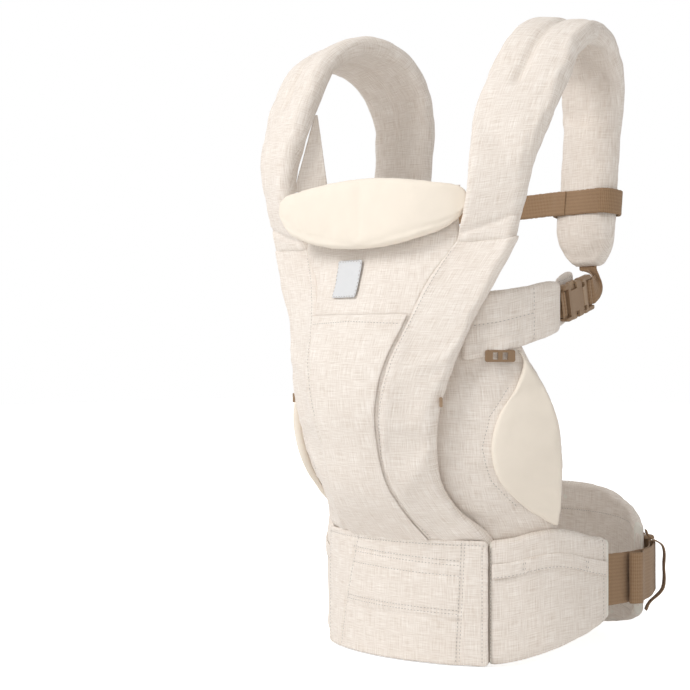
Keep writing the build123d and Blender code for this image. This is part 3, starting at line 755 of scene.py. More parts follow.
    def stitches(self):
        """(place, direction, outward) of each stitch of this piece, in metres."""
        found = []
        skin = self.tree()
        pitch = sizes().pitch / MM
        for seam in self.seams:
            if not seam.stitched:
                continue
            for row in seam.rows or (0.0,):
                route = self.on_cloth(seam.route)
                marks = [0.0]
                for (x0, y0), (x1, y1) in zip(route, route[1:]):
                    marks.append(marks[-1] + sqrt((x1 - x0) ** 2 + (y1 - y0) ** 2))
                count = int(marks[-1] / pitch)
                for k in range(count):
                    mark = (k + 0.5) * marks[-1] / count
                    i = max(j for j in range(len(marks) - 1) if marks[j] <= mark)
                    share = (mark - marks[i]) / (marks[i + 1] - marks[i])
                    (x0, y0), (x1, y1) = route[i], route[i + 1]
                    run = sqrt((x1 - x0) ** 2 + (y1 - y0) ** 2)
                    s = x0 + (x1 - x0) * share - (y1 - y0) / run * row
                    t = y0 + (y1 - y0) * share + (x1 - x0) / run * row
                    stitch = self.stitch_at(skin, s, t, (x1 - x0) / run, (y1 - y0) / run, seam.side)
                    if stitch:
                        found.append(stitch)
        return found

    def stitch_at(self, skin, s, t, ds, dt, side):
        v = t / self.form.length
        if not 0 < v < 1:
            return None
        u = s / (self.form.width_at(v) / 2)
        if abs(u) > 1:
            return None
        out = self.outward(u, v, side)
        start = self.form.place(u, v, self.outer * side) * MM + out * 12 * MM
        hit, normal, _, _ = skin.ray_cast(start, -out, 30 * MM)
        if hit is None:
            return None
        step = 0.002
        along = self.form.place(u, min(1.0, v + step), 0) - self.form.place(u, max(0.0, v - step), 0)
        across = self.form.place(u + step, v, 0) - self.form.place(u - step, v, 0)
        aim = across.normalized() * ds + along.normalized() * dt
        return hit, aim.normalized(), normal


def new_object(name, bm):
    mesh = bpy.data.meshes.new(name)
    bm.to_mesh(mesh)
    bm.free()
    obj = bpy.data.objects.new(name, mesh)
    bpy.context.scene.collection.objects.link(obj)
    return obj


def lay_stitches(name, stitches, body=CARRIER, thread="thread", slot="linen"):
    """All the stitches of a group as one piece of thread."""
    size = sizes()
    bm = bmesh.new()
    for place, aim, out in stitches:
        side = out.cross(aim).normalized()
        aim = side.cross(out).normalized()
        turn = Matrix((aim, side, out)).transposed().to_4x4()
        scale = Matrix.Diagonal((size.stitch / 2, size.thread / 2, size.thread / 2, 1))
        bmesh.ops.create_icosphere(
            bm, subdivisions=1, radius=1, matrix=Matrix.Translation(place) @ turn @ scale
        )
    for face in bm.faces:
        face.smooth = True
    obj = new_object(name, bm)
    dress(obj, thread, slot, body)
    return obj


def dress(obj, look, slot, body, *replaced, fill=None):
    """Gives a piece its finish, its body and the nodes that it stands for."""
    obj.data.materials.clear()
    obj.data.materials.append(finish(look))
    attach(obj, body)
    if replaced:
        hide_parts(*replaced)
    return obj


def right_copy(obj):
    """The wearer's right-hand copy of a left-hand piece."""
    name = obj.name.replace("_left", "_right")
    mesh = obj.data.copy()
    mesh.name = name
    mesh.transform(Matrix.Scale(-1, 4, (1, 0, 0)))
    mesh.flip_normals()
    copy = bpy.data.objects.new(name, mesh)
    bpy.context.scene.collection.objects.link(copy)
    return copy


def dress_pair(piece, node, look="linen", slot="linen", fill=None):
    """Finishes a left-hand piece and makes its right-hand copy, each for its own side's node."""
    shared = node in frame["nodes"]
    for obj, side in ((piece.obj, "_left"), (right_copy(piece.obj), "_right")):
        dress(obj, look, slot, CARRIER, node if shared else node + side, fill=fill)


def flipped(stitch):
    """A stitch on the other side of the carrier."""
    return tuple(Vector((-part.x, part.y, part.z)) for part in stitch)


def both_sides(stitches):
    return stitches + [flipped(stitch) for stitch in stitches]


def dress_node(node, look):
    """A better finish for a CAD node whose shape is right."""
    obj = frame["nodes"][node]
    obj.data.materials.clear()
    obj.data.materials.append(finish(look))


# ------------------------------------------------------------------ the belt's own path
BELT_HALF_WIDTH, BELT_HALF_DEPTH, BELT_CENTRE_Y = 170.0, 142.0, 6.0
BELT_HEIGHT = 118.0
BELT_SLIT, BELT_END = 37.0, 85.0
SLIT_GAP = 0.2
BELT_END_RISE, BELT_HIP_RISE = 40.0, 11.0
CENTRE_THICK, WING_PAD_THICK, FRONT_THICK = 16.0, 14.0, 3.0
POUCH_STRIP_DROP, POUCH_STRIP_WIDTH, LAYER = 22.0, 15.0, 2.0
EASE = 0.3


def on_belt(angle, depth, height):
    a = radians(angle)
    x = (BELT_HALF_WIDTH - depth) * sin(a)
    y = BELT_CENTRE_Y - (BELT_HALF_DEPTH - depth) * cos(a)
    return Vector((x, y, height))


def along_wing(angle):
    return max(0.0, (abs(angle) - BELT_SLIT) / (BELT_END - BELT_SLIT))


def belt_low(angle):
    return BELT_END_RISE * along_wing(angle) ** 1.4


def belt_high(angle):
    return BELT_HEIGHT + BELT_HIP_RISE * sin(pi * along_wing(angle)) ** 2


def belt_band(first, last, spans, depth, thick, low, high):
    stations = []
    for i in range(spans + 1):
        angle = first + (last - first) * i / spans
        foot, top = on_belt(angle, depth, low(angle)), on_belt(angle, depth, high(angle))
        stations.append((foot, top, thick, 0))
    return stations


class CARRIER_OT_belt(bpy.types.Operator):
    """Builds the padded waist belt with its front panel, wings and pouch strips."""

    bl_idname = "carrier.belt"
    bl_label = "Build belt"

    def execute(self, context):
        threads = []
        slit, end = BELT_SLIT, BELT_END
        centre = Band(belt_band(-slit, slit, 6, CENTRE_THICK / 2, CENTRE_THICK, belt_low, belt_high))
        pad = Sewn("belt_centre", centre, 1, corner=2, end=4, run_on=(2.0, 2.0))
        pad.refine()
        dress(pad.obj, "linen", "linen", CARRIER, "belt_centre_cover", fill=0.7)
        front = Band(
            belt_band(-slit, slit, 6, -EASE - FRONT_THICK / 2, FRONT_THICK, belt_low, belt_high)
        )
        height = BELT_HEIGHT

        def level(z):
            return 2 * z / height - 1

        def turn(angle):
            return (angle + slit) / (2 * slit)

        seams = [
            Seam([(level(112), 0.01), (level(113), 0.99)], 0.7, 1.5),
            Seam([(level(101), turn(-16)), (level(96), turn(28))], 0.9, 1.8, rows=(-2.2, 2.2)),
            Seam([(level(88), turn(-17)), (level(84), turn(28))], 0.7, 1.5),
            Seam([(level(53), turn(-20)), (level(50), turn(27.5))], 0.7, 1.5, rows=(-1.8, 1.8)),
            Seam([(level(46), turn(-21)), (level(43), turn(27.3))], 1.5, 1.3, stitched=False),
            Seam([(level(116), turn(29.2)), (level(3), turn(27.2))], 1.0, 1.7, rows=(-1.6, 1.6)),
            Seam([(level(116), turn(-13)), (level(60), turn(-19.5)), (level(3), turn(-25))], 1.4, 1.8),
            Seam([(level(112), turn(35.2)), (level(3), turn(35.2))], 0.3, 1.3),
            Seam([(level(112), turn(-35.2)), (level(3), turn(-35.2))], 0.3, 1.3),
        ]
        face = Sewn(
            "belt_front_cloth", front, 1, cell=3.2, edge=1.5, end=1.5, corner=4, seams=seams,
            run_on=(1.4, 1.4),
        )
        face.refine()
        dress(face.obj, "linen", "linen", CARRIER, "belt_front_panel")
        threads += face.stitches()
        wing_form = Band(
            belt_band(slit + SLIT_GAP, end, 6, WING_PAD_THICK / 2, WING_PAD_THICK, belt_low, belt_high)
        )
        wing_seams = [
            Seam([(0.92, 0.02), (0.92, 0.97)], 0.3, 1.5, stitched=False),
            Seam([(-0.95, 0.93), (0.95, 0.93)], 0.8, 1.6),
            Seam([(-0.95, 0.02), (0.95, 0.02)], 0.3, 1.2),
            Seam([(-0.75, 0.02), (-0.78, 0.5), (-0.8, 0.92)], 0.0, 1.6, stitched=False),
        ]
        wing = Sewn("belt_wing_left", wing_form, 1, corner=5, end=4, seams=wing_seams, run_on=(2.2, 0.0))
        wing.settle(pressure=1.0, grow=0.012, cap=0.5).refine()
        dress_pair(wing, "belt_wing_cover", fill=0.7)
        wing_threads = wing.stitches()

        def strip_high(angle):
            return belt_high(angle) - POUCH_STRIP_DROP

        def strip_low(angle):
            return strip_high(angle) - POUCH_STRIP_WIDTH

        strip_form = Band(
            belt_band(slit + 1, end - 2, 6, -EASE - LAYER / 2, LAYER, strip_low, strip_high)
        )
        strip_seams = [
            Seam([(-0.74, 0.01), (-0.74, 0.97)], 0.25, 1.2),
            Seam([(0.9, 0.01), (0.9, 0.97)], 0.2, 1.0, stitched=False),
            Seam([(-0.6, 0.26), (0.75, 0.26)], 0.5, 1.2, rows=(-1.1, 1.1)),
            Seam([(-0.6, 0.78), (0.75, 0.78)], 0.5, 1.2, rows=(-1.1, 1.1)),
        ]
        strip = Sewn("pouch_strip_left", strip_form, 1, cell=2.6, edge=1.0, end=1.0, seams=strip_seams)
        strip.refine()
        dress_pair(strip, "pouch_strips")
        threads += both_sides(wing_threads + strip.stitches())
        lay_stitches("belt_stitching", threads)
        for node in ("belt_centre_foam", "belt_wing_foam_left", "belt_wing_foam_right"):
            dress_node(node, "foam")
        return {"FINISHED"}


# ------------------------------------------------------------------ lumbar pad
LUMBAR_HALF_ANGLE, LUMBAR_THICK, LUMBAR_DEPTH = 52.0, 12.0, 2.0


def from_middle(angle):
    return abs(angle - 180) / LUMBAR_HALF_ANGLE


def lumbar_low(angle):
    return 5 + 24 * from_middle(angle) ** 2


def lumbar_high(angle):
    return 155 - 35 * from_middle(angle) ** 2.2


class CARRIER_OT_lumbar(bpy.types.Operator):
    """Builds the pad behind the wearer's waist."""

    bl_idname = "carrier.lumbar"
    bl_label = "Build lumbar pad"

    def execute(self, context):
        first, last = 180 - LUMBAR_HALF_ANGLE, 180 + LUMBAR_HALF_ANGLE
        form = Band(belt_band(first, last, 10, LUMBAR_DEPTH, LUMBAR_THICK, lumbar_low, lumbar_high))
        seams = []
        for side in (1, -1):
            for u in (0.86, -0.86):
                seams.append(Seam([(u, 0.05), (u, 0.95)], 0.6, 1.8, side=side))
        seams += [Seam([(-0.84, v), (0.84, v)], 1.0, 2.0) for v in (0.14, 0.86)]
        pad = Sewn("lumbar_pad", form, 1, corner=14, end=5, seams=seams)
        pad.settle(grow=0.03, cap=1.4).refine()
        dress(pad.obj, "linen", "linen", CARRIER, "lumbar_pad_cover", fill=0.7)
        lay_stitches("lumbar_stitching", pad.stitches())
        dress_node("lumbar_pad_foam", "foam")
        return {"FINISHED"}


# ------------------------------------------------------------------ seat panel, pocket and bands
PANEL_THICK, BAND_THICK, POCKET_TOP, SEAM_GAP = 5.0, 14.0, 330.0, 1.5
# height, seam x, seam y, middle y, outer edge x, outer edge y
FRONT_LEVELS = [
    (122, 48, -138, -143, 100, -114),
    (145, 43, -160, -166, 86, -133),
    (170, 36, -175, -181, 81, -150),
    (200, 33, -184, -189, 85, -162),
    (240, 38, -194, -199, 94, -168),
    (280, 46, -191, -197, 106, -163),
    (320, 58, -176, -184, 119, -154),
    (360, 70, -160, -169, 140, -148),
    (395, 95, -149, -161, 156, -139),
]
PANEL_TOP_LEVELS = [(425, 88, -141, -158), (450, 86, -135, -159)]
PANEL_FOOT = (110, 50, -124, -131)  # hidden behind the belt
BAND_FOOT = Vector((51, -124, 108)), Vector((104, -100, 108))
BAND_TUCK = 7.0  # the band's top under the shoulder strap
PATCH_X, PATCH_Z, PATCH_WIDTH, PATCH_HEIGHT, PATCH_THICK = -20.0, 363.0, 34.0, 37.0, 1.0


def panel_level(height):
    listed = [level[:4] for level in FRONT_LEVELS] + PANEL_TOP_LEVELS
    for low, high in zip(listed, listed[1:]):
        if height <= high[0]:
            share = (height - low[0]) / (high[0] - low[0])
            return tuple(p + (q - p) * share for p, q in zip(low, high))
    return listed[-1]


def on_panel(x, height, stand):
    z, edge_x, edge_y, middle_y = panel_level(height)
    return Vector((x, middle_y + (edge_y - middle_y) * (x / edge_x) ** 2 - stand, z))


def panel_arcs(levels, grow):
    return [
        (Vector((-x, y - grow, z)), Vector((0, mid - grow, z)), Vector((x, y - grow, z)))
        for z, x, y, mid in levels
    ]


class CARRIER_OT_seat(bpy.types.Operator):
    """Builds the seat panel, its pocket, blank label, side bands and toggles."""

    bl_idname = "carrier.seat"
    bl_label = "Build seat panel"

    def execute(self, context):
        inward = (0, 1, 0)
        levels = [level[:4] for level in FRONT_LEVELS] + PANEL_TOP_LEVELS
        panel = Sheet(panel_arcs([PANEL_FOOT] + levels, 0), inward, PANEL_THICK)
        piece = Sewn("seat_cloth", panel, -1, edge=2.5, end=2.5, widen=4.0)
        piece.refine()
        dress(piece.obj, "linen", "linen", CARRIER, "seat_panel", fill=0.3)
        low = [level for level in levels if level[0] < POCKET_TOP] + [panel_level(POCKET_TOP)]
        pocket = Sheet(panel_arcs([PANEL_FOOT] + low, LAYER + 1.0), inward, LAYER)
        hem = [Seam([(-0.97, 0.955), (0, 0.965), (0.97, 0.955)], 0.5, 1.6)]
        cloth = Sewn("pocket_cloth", pocket, -1, cell=4, edge=1.0, end=1.0, seams=hem, widen=2.5)
        cloth.refine()
        dress(cloth.obj, "linen", "linen", CARRIER, "front_pocket")
        threads = cloth.stitches()
        rows = []
        for z in (PATCH_Z - PATCH_HEIGHT / 2, PATCH_Z, PATCH_Z + PATCH_HEIGHT / 2):
            across = [PATCH_X + PATCH_WIDTH * share for share in (-0.5, 0, 0.5)]
            rows.append(tuple(on_panel(x, z, 2.4 * PATCH_THICK) for x in across))
        label = Sheet(rows, inward, PATCH_THICK)
        border = [Seam([(-0.9, v), (0.9, v)], 0.1, 1.0) for v in (0.05, 0.95)]
        border += [Seam([(u, 0.05), (u, 0.95)], 0.1, 1.0) for u in (-0.92, 0.92)]
        patch = Sewn("blank_label", label, -1, cell=2, edge=0.5, end=0.5, corner=1.5, seams=border)
        patch.refine()
        dress(patch.obj, "label", "label", CARRIER, "label_patch")
        threads += patch.stitches()
        stations = [(*BAND_FOOT, BAND_THICK, 1)]
        for z, x, y, _, out_x, out_y in FRONT_LEVELS:
            stations.append((Vector((x + SEAM_GAP, y, z)), Vector((out_x, out_y, z)), BAND_THICK, 1))
        band_seams = [Seam([(-0.86, 0.03), (-0.86, 0.97)], 0.4, 1.6)]
        band = Sewn(
            "side_band_sewn_left", Band(stations), -1, end=4, crown=1.0, seams=band_seams,
            run_on=(0.0, BAND_TUCK), widen=1.0,
        )
        band.settle(grow=0.02, cap=1.3).refine()
        dress_pair(band, "side_band", fill=0.6)
        threads += both_sides(band.stitches())
        lay_stitches("seat_stitching", threads)
        dress_node("seat_toggles", "plastic")
        return {"FINISHED"}


# ------------------------------------------------------------------ shoulder straps
STRAP_THICK, STRAP_BACK_WIDTH = 20.0, 72.0
STRAP_BACK_X, STRAP_BACK_Y, STRAP_BACK_LEAN, STRAP_BACK_TURN = 124.0, 17.5, 0.10, -10.0
STRAP_TIP_HEIGHT, ARCH_FOOT, STRAP_RIGHT_RISE, CHEST_HEIGHT = 375.0, 480.0, 12.0, 437.0
CORE_INSET = 5.5
STRAP_TUCK = 5.0  # the strap's foot over the side band
# the strap behind the shoulder: height, width, thickness, lift; its tip is last
BACK_LEVELS = [(z, STRAP_BACK_WIDTH, STRAP_THICK, 0) for z in (500, 470, 440, 410)]
BACK_LEVELS += [(391, 60, 18, 3), (STRAP_TIP_HEIGHT, 31, 13, 6)]
GUSSET_LOW, GUSSET_HIGH = Vector((121, -146, 452)), Vector((119, -114, 540))
GUSSET_BACK = Vector((97, -119, 457))
GUSSET_REACH, GUSSET_SHARE = 0.94, 0.53  # how near it comes to its point, and its share of a rectangle
ARCH = [
    ((116, -157, 440), (171, -133, 447), 17, 0.5),
    ((116, -150, 478), (180, -126, 483), STRAP_THICK, 0),
    ((113, -139, 510), (187, -115, 512), STRAP_THICK, 0),
    ((113, -120, 545), (191, -101, 542), STRAP_THICK, 0),
    ((114, -92, 583), (190, -78, 573), STRAP_THICK, 0),
    ((107, -48, 602), (186, -48, 588), STRAP_THICK, 0),
    ((97, -4, 595), (178, -13, 582), STRAP_THICK, 0),
    ((90, 23, 566), (168, 13, 557), STRAP_THICK, 0),
    ((88, 31, 532), (162, 20, 528), STRAP_THICK, 0),
]


def strap_back_point(height):
    return Vector((STRAP_BACK_X, STRAP_BACK_Y + STRAP_BACK_LEAN * (height - CHEST_HEIGHT), height))


def strap_across():
    a = radians(STRAP_BACK_TURN)
    return Vector((cos(a), sin(a), 0))


def back_station(height, width, thick, shift=0.0):
    middle = strap_back_point(height) + Vector((shift, 0, 0))
    half = strap_across() * (width / 2)
    return middle - half, middle + half, thick, 0


def strap_stations(rise):
    z, x, y, _, out_x, out_y = FRONT_LEVELS[-1]
    stations = [(Vector((x + SEAM_GAP, y, z)), Vector((out_x, out_y, z)), BAND_THICK, 1)]
    for a, b, thick, lift in ARCH:
        share = max(0.0, (a[2] - ARCH_FOOT) / (ARCH[5][0][2] - ARCH_FOOT))
        up = Vector((0, 0, rise * min(1.0, share)))
        stations.append((Vector(a) + up, Vector(b) + up, thick, lift))
    return stations + [back_station(*level) for level in BACK_LEVELS]


class CARRIER_OT_straps(bpy.types.Operator):
    """Builds the padded shoulder straps and the gussets under them."""

    bl_idname = "carrier.straps"
    bl_label = "Build shoulder straps"

    def execute(self, context):
        threads = []
        for side, rise in (("left", 0.0), ("right", STRAP_RIGHT_RISE)):
            form = Band(strap_stations(rise))
            seams = [
                Seam([(-0.06, 0.29), (0.0, 0.38), (0.02, 0.62)], 4.2, 4.5, stitched=False),
                Seam([(0.0, 0.34), (0.0, 0.5), (0.0, 0.72)], 2.6, 4.0, stitched=False, side=-1),
                Seam([(0.84, 0.06), (0.84, 0.93)], 0.3, 1.6, stitched=False),
                Seam([(0.0, 0.86), (0.0, 0.93), (0.12, 0.945), (0.22, 0.945)], 0.8, 1.6, side=1),
                Seam([(-0.9, 0.022), (0.9, 0.05)], 1.6, 2.4, stitched=False),
            ]
            pad = Sewn(
                "shoulder_strap_" + side, form, -1, end=3, crown=0.8, seams=seams, run_on=(STRAP_TUCK, 0.0)
            )
            pad.settle(grow=0.018, cap=1.2).refine()
            stitches = pad.stitches()
            inner = Band(strap_stations(rise), CORE_INSET)
            core = Sewn("shoulder_core_" + side, inner, -1, cell=9, end=6)
            core.refine()
            if side == "right":
                for piece in (pad.obj, core.obj):
                    piece.data.transform(Matrix.Scale(-1, 4, (1, 0, 0)))
                    piece.data.flip_normals()
                stitches = [flipped(stitch) for stitch in stitches]
            dress(pad.obj, "linen", "linen", CARRIER, "strap_cover_" + side, fill=0.8)
            dress(core.obj, "foam", "foam", CARRIER, "strap_foam_" + side)
            threads += stitches
        lay_stitches("strap_stitching", threads)
        rows = []
        for i in range(5):
            share = i / 4 * GUSSET_REACH
            front, rear = GUSSET_LOW.lerp(GUSSET_HIGH, share), GUSSET_BACK.lerp(GUSSET_HIGH, share)
            rows.append((front, (front + rear) / 2 + Vector((1, 0, 0)), rear))
        sheet = Sheet(rows, (-1, 0, 0), LAYER)
        gusset = Sewn("strap_gusset_sewn_left", sheet, -1, cell=3, edge=1, end=1)
        gusset.refine()
        dress_pair(gusset, "strap_gusset")
        return {"FINISHED"}


# ------------------------------------------------------------------ headrest
HEADREST_HALF_WIDTH, HEADREST_DROP, HEADREST_THICK = 105.0, 68.0, 10.0
HEADREST_FOLD_Y, HEADREST_FOLD_Z, HEADREST_DROOP, HEADREST_BOW = -172.0, 453.0, 12.0, 28.0
HEADREST_CORE_INSET = 3.0
HEADREST_END_SHARE = 0.5  # the drop at its ends, in shares of the middle's
HEADREST_SPANS = 12
HEADREST_REACH = 1.05  # the cover beyond its foam, in shares of the half width


class CARRIER_OT_headrest(bpy.types.Operator):
    """Builds the padded headrest, folded down over the front."""

    bl_idname = "carrier.headrest"
    bl_label = "Build headrest"

    def execute(self, context):
        stations = []
        for i in range(HEADREST_SPANS + 1):
            share = -1 + 2 * i / HEADREST_SPANS
            share *= HEADREST_REACH
            x = HEADREST_HALF_WIDTH * share
            round_end = (1 - HEADREST_END_SHARE) * max(0.0, 1 - share**2) ** 0.5
            drop = HEADREST_DROP * (HEADREST_END_SHARE + round_end)
            y = HEADREST_FOLD_Y + HEADREST_BOW * max(0.0, share) ** 3
            crest = HEADREST_FOLD_Z + HEADREST_THICK / 2
            top = Vector((x, y - 1, crest - HEADREST_DROOP * share**2))
            stations.append((Vector((x, y - 2, crest - drop)), top, HEADREST_THICK, 0))
        form = Band(stations)
        seams = [Seam([(-0.9, 0.02), (-0.93, 0.5), (-0.9, 0.98)], 0.5, 1.4, stitched=False)]
        pad = Sewn("headrest_pad", form, 1, end=5, corner=16, crown=0.8, seams=seams)
        pad.settle(grow=0.01, cap=1.5).refine()
        dress(pad.obj, "knit", "cream_knit", "headrest", "headrest_cover", fill=0.7)
        core = Sewn("headrest_core", Band(stations, HEADREST_CORE_INSET), 1, cell=6, end=3, corner=12)
        core.refine()
        dress(core.obj, "foam", "foam", "headrest", "headrest_foam")
        return {"FINISHED"}


# ------------------------------------------------------------------ moulded buckles and webbing
BUCKLE_WALL, BAR, BASE, LADDER = 2.2, 1.9, 8.5, 14.0
WEBBING = 1.6
LOOP_CLEARANCE = 2.5  # between a shoulder strap and the webbing round it
NARROW = {"web": 25.0, "thick": 9.0, "reach": 24.0}
WIDE = {"web": 50.0, "thick": 12.0, "reach": 30.0}


def socket_length(size):
    return size["reach"] + 1 + BUCKLE_WALL + 8


def clip_length():
    return BASE + LADDER


class Place:
    """A frame of its own for a buckle: x from socket to clip, z out of its face."""

    def __init__(self, origin, x_dir, z_dir):
        self.origin, self.x, self.z = origin, x_dir.normalized(), z_dir.normalized()
        self.y = self.z.cross(self.x)

    def at(self, x, y, z):
        return self.origin + self.x * x + self.y * y + self.z * z


LEG = BAR + EASE / 2 + WEBBING / 2  # from a bar's middle to the middle of webbing round it
LOOP_WIDTH, LOOP_STAND = 12.0, 17.5  # loops on the lumbar pad, and their height over it
WAIST_HEIGHT = 77.0
WAIST_MOUTH, WAIST_OUT = 151.0, -11.0
ROLL_ANGLE, ROLL_STAND = 99.0, 8.0
ROLL_LONG, ROLL_SHORT, ROLL_SHRINK, ROLL_STEPS = 7.6, 4.7, 0.028, 26  # the tail's flattened roll
WEBBING_INSIDE = 7.0  # the end of the under-arm webbing inside the strap's tip
SOCKET_BARS = {25: BAR + 0.6 - socket_length(NARROW), 50: BAR + 0.6 - socket_length(WIDE)}
CLIP_BAR = clip_length() - BAR - 0.6


def waist_place():
    a = radians(WAIST_MOUTH)
    back = Vector((BELT_HALF_WIDTH * cos(a), BELT_HALF_DEPTH * sin(a), 0)).normalized()
    return Place(on_belt(WAIST_MOUTH, WAIST_OUT, WAIST_HEIGHT), back, back.cross(UP))


def edges(place, x, z, web):
    return place.at(x, -web / 2, z), place.at(x, web / 2, z), WEBBING, 0


def round_bar(place, bar, away, first, web):
    """Webbing turned round a bar, on the side away from its legs, starting on one face."""
    turn = []
    for k in range(7):
        a = pi * (k / 6 - 0.5)
        turn.append(edges(place, bar + away * LEG * cos(a), first * -LEG * sin(a), web))
    return turn


def on_webbing(angle, depth):
    low, high = [on_belt(angle, depth, WAIST_HEIGHT + WIDE["web"] * half) for half in (-0.5, 0.5)]
    return low, high, WEBBING, 0


def webbing(name, stations, seams, node, right_node=None):
    """A length of webbing in place of its CAD node, and its right-hand copy where there is one."""
    piece = Sewn(name, Band(stations), 1, cell=2.4, edge=0.8, end=0.8, seams=seams)
    piece.refine()
    dress(piece.obj, "webbing", "tan_webbing", frame["nodes"][node]["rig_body"], node)
    if right_node:
        body = frame["nodes"][right_node]["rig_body"]
        dress(right_copy(piece.obj), "webbing", "tan_webbing", body, right_node)
    return piece


def tacks(*shares):
    """Rows of stitches across webbing."""
    return [Seam([(-0.86, v), (0.86, v)], 0.12, 1.0) for v in shares]


def waist_front_route():
    place, bar = waist_place(), SOCKET_BARS[50]
    run = ((82, 8), (94, 5), (104, 1), (113, -4), (123, -7))
    live = [on_webbing(angle, depth) for angle, depth in run]
    live.append(edges(place, bar - 6, -LEG, 50))
    tail = [on_webbing(angle, depth) for angle, depth in ((124, -10.5), (115, -7.5), (107, -5.5))]
    roll = on_belt(ROLL_ANGLE, 3 - ROLL_STAND, WAIST_HEIGHT)
    lean = Vector((sin(radians(20)), cos(radians(20)), 0))
    side = Vector((lean.y, -lean.x, 0))
    wound = []
    for k in range(ROLL_STEPS):
        a = pi * 0.25 + k * pi / 5
        full = 1 - ROLL_SHRINK * k
        centre = roll + lean * (ROLL_LONG * full * cos(a)) + side * (ROLL_SHORT * full * sin(a))
        wound.append((centre - UP * 25, centre + UP * 25, WEBBING, 0))
    return live + round_bar(place, bar, 1, 1, 50) + [edges(place, bar - 6, LEG, 50)] + tail + wound


def lumbar_loop():
    """A flat loop sewn over the pad's end, with the waist webbing running under it."""
    angle = 180 - LUMBAR_HALF_ANGLE + 2.5
    half = LOOP_WIDTH / 2 / BELT_HALF_WIDTH * 180 / pi
    face = LUMBAR_DEPTH - LUMBAR_THICK / 2 - 3 * EASE - WEBBING / 2
    low, high = lumbar_low(angle) + 6, lumbar_high(angle) - 8
    crest, knee = face - LOOP_STAND, face - LOOP_STAND / 5
    reach = WIDE["web"] / 2 - 4
    route = [(face, low), (knee, low + 8), (crest, WAIST_HEIGHT - reach), (crest - 1, WAIST_HEIGHT)]
    route += [(crest, WAIST_HEIGHT + reach), (knee, high - 8), (face, high)]
    return [
        (on_belt(angle - half, depth, height), on_belt(angle + half, depth, height), WEBBING, 0)
        for depth, height in route
    ]


def waist_rear_route():
    place = waist_place()
    start = [edges(place, CLIP_BAR + 9, LEG, 50), edges(place, CLIP_BAR + 4, LEG, 50)]
    turn = round_bar(place, CLIP_BAR, -1, -1, 50)
    run = [edges(place, CLIP_BAR + x, -LEG, 50) for x in (5, 10)]
    route = ((176, -8), (184, -6), (195, -6), (215, -6), (235, -6), (250, -3), (263, 3), (278, 8))
    return start + turn + run + [on_webbing(angle, depth) for angle, depth in route]


def underarm_route():
    place, web = underarm_place(), NARROW["web"]
    tail = [edges(place, CLIP_BAR + x, -LEG, web) for x in (24, 17, 11, 4.5)]
    low, high, _, _ = edges(place, CLIP_BAR + 4.5, LEG, web)
    tip_low, tip_high, _, _ = back_station(STRAP_TIP_HEIGHT - 2.5, web, WEBBING, 6)
    middle = (low + high + tip_low + tip_high) * 0.25 + Vector((0, 7, 2))
    half = ((high - low).normalized() - (tip_high - tip_low).normalized()).normalized() * (web / 2)
    inside = Vector((0, 0, WEBBING_INSIDE))
    rise = [
        (low, high, WEBBING, 0),
        (middle - half, middle + half, WEBBING, 0),
        (tip_high, tip_low, WEBBING, 0),
        (tip_high + inside, tip_low + inside, WEBBING, 0),
    ]
    return tail + round_bar(place, CLIP_BAR, -1, 1, web) + rise


def strap_place():
    up = Vector((0, STRAP_BACK_LEAN, 1)).normalized()
    return Place(strap_back_point(CHEST_HEIGHT), strap_across(), up)


def chest_place():
    up = Vector((0, STRAP_BACK_LEAN, 1)).normalized()
    side = Vector((-1, 0, 0))
    y = strap_back_point(CHEST_HEIGHT).y - STRAP_THICK / 2 - LOOP_CLEARANCE - 3
    return Place(Vector((6, y, CHEST_HEIGHT)), side, side.cross(up))



def chest_ring():
    """Webbing that goes once round a shoulder strap."""
    place = strap_place()
    wide = STRAP_BACK_WIDTH / 2 + LOOP_CLEARANCE + WEBBING / 2
    deep = STRAP_THICK / 2 + LOOP_CLEARANCE + WEBBING / 2
    corner = 10.0
    stations = []
    for sx, sy in ((1, -1), (1, 1), (-1, 1), (-1, -1), (1, -1)):
        for k in range(4):
            a = pi / 2 * k / 3
            quarter = {(1, -1): -pi / 2, (1, 1): 0, (-1, 1): pi / 2, (-1, -1): pi}[(sx, sy)] + a
            x = sx * (wide - corner) + corner * cos(quarter)
            y = sy * (deep - corner) + corner * sin(quarter)
            half = place.z * (NARROW["web"] / 2)
            middle = place.origin + place.x * x + place.y * y
            stations.append((middle - half, middle + half, WEBBING, 0))
    return stations[:-2]


def chest_left_route():
    place, strap, web = chest_place(), strap_place(), NARROW["web"]
    wide, deep = STRAP_BACK_WIDTH + 2 * LOOP_CLEARANCE, STRAP_THICK + 2 * LOOP_CLEARANCE
    up = place.y * (web / 2)
    face = -deep / 2 - WEBBING * 1.5
    start = []
    for reach in (24, 12, 2):
        point = strap.origin + strap.x * (reach - wide / 2) + strap.y * face
        start.append((point - up, point + up, WEBBING, 0))
    bar = SOCKET_BARS[25]
    run = [edges(place, bar + x, LEG, web) for x in (-14, -5)]
    return start + run + round_bar(place, bar, 1, -1, web) + [edges(place, bar - 8, -LEG, web)]


def chest_right_route():
    place, web = chest_place(), NARROW["web"]
    turn = [edges(place, CLIP_BAR + 8, -LEG, web)] + round_bar(place, CLIP_BAR, -1, 1, web)
    run = [edges(place, CLIP_BAR + x, LEG, web) for x in (5, 14)]
    far = []
    for low, high, thick, lift in chest_left_route()[2::-1]:
        far.append((Vector((-low.x, low.y, low.z)), Vector((-high.x, high.y, high.z)), thick, lift))
    return turn + run + far


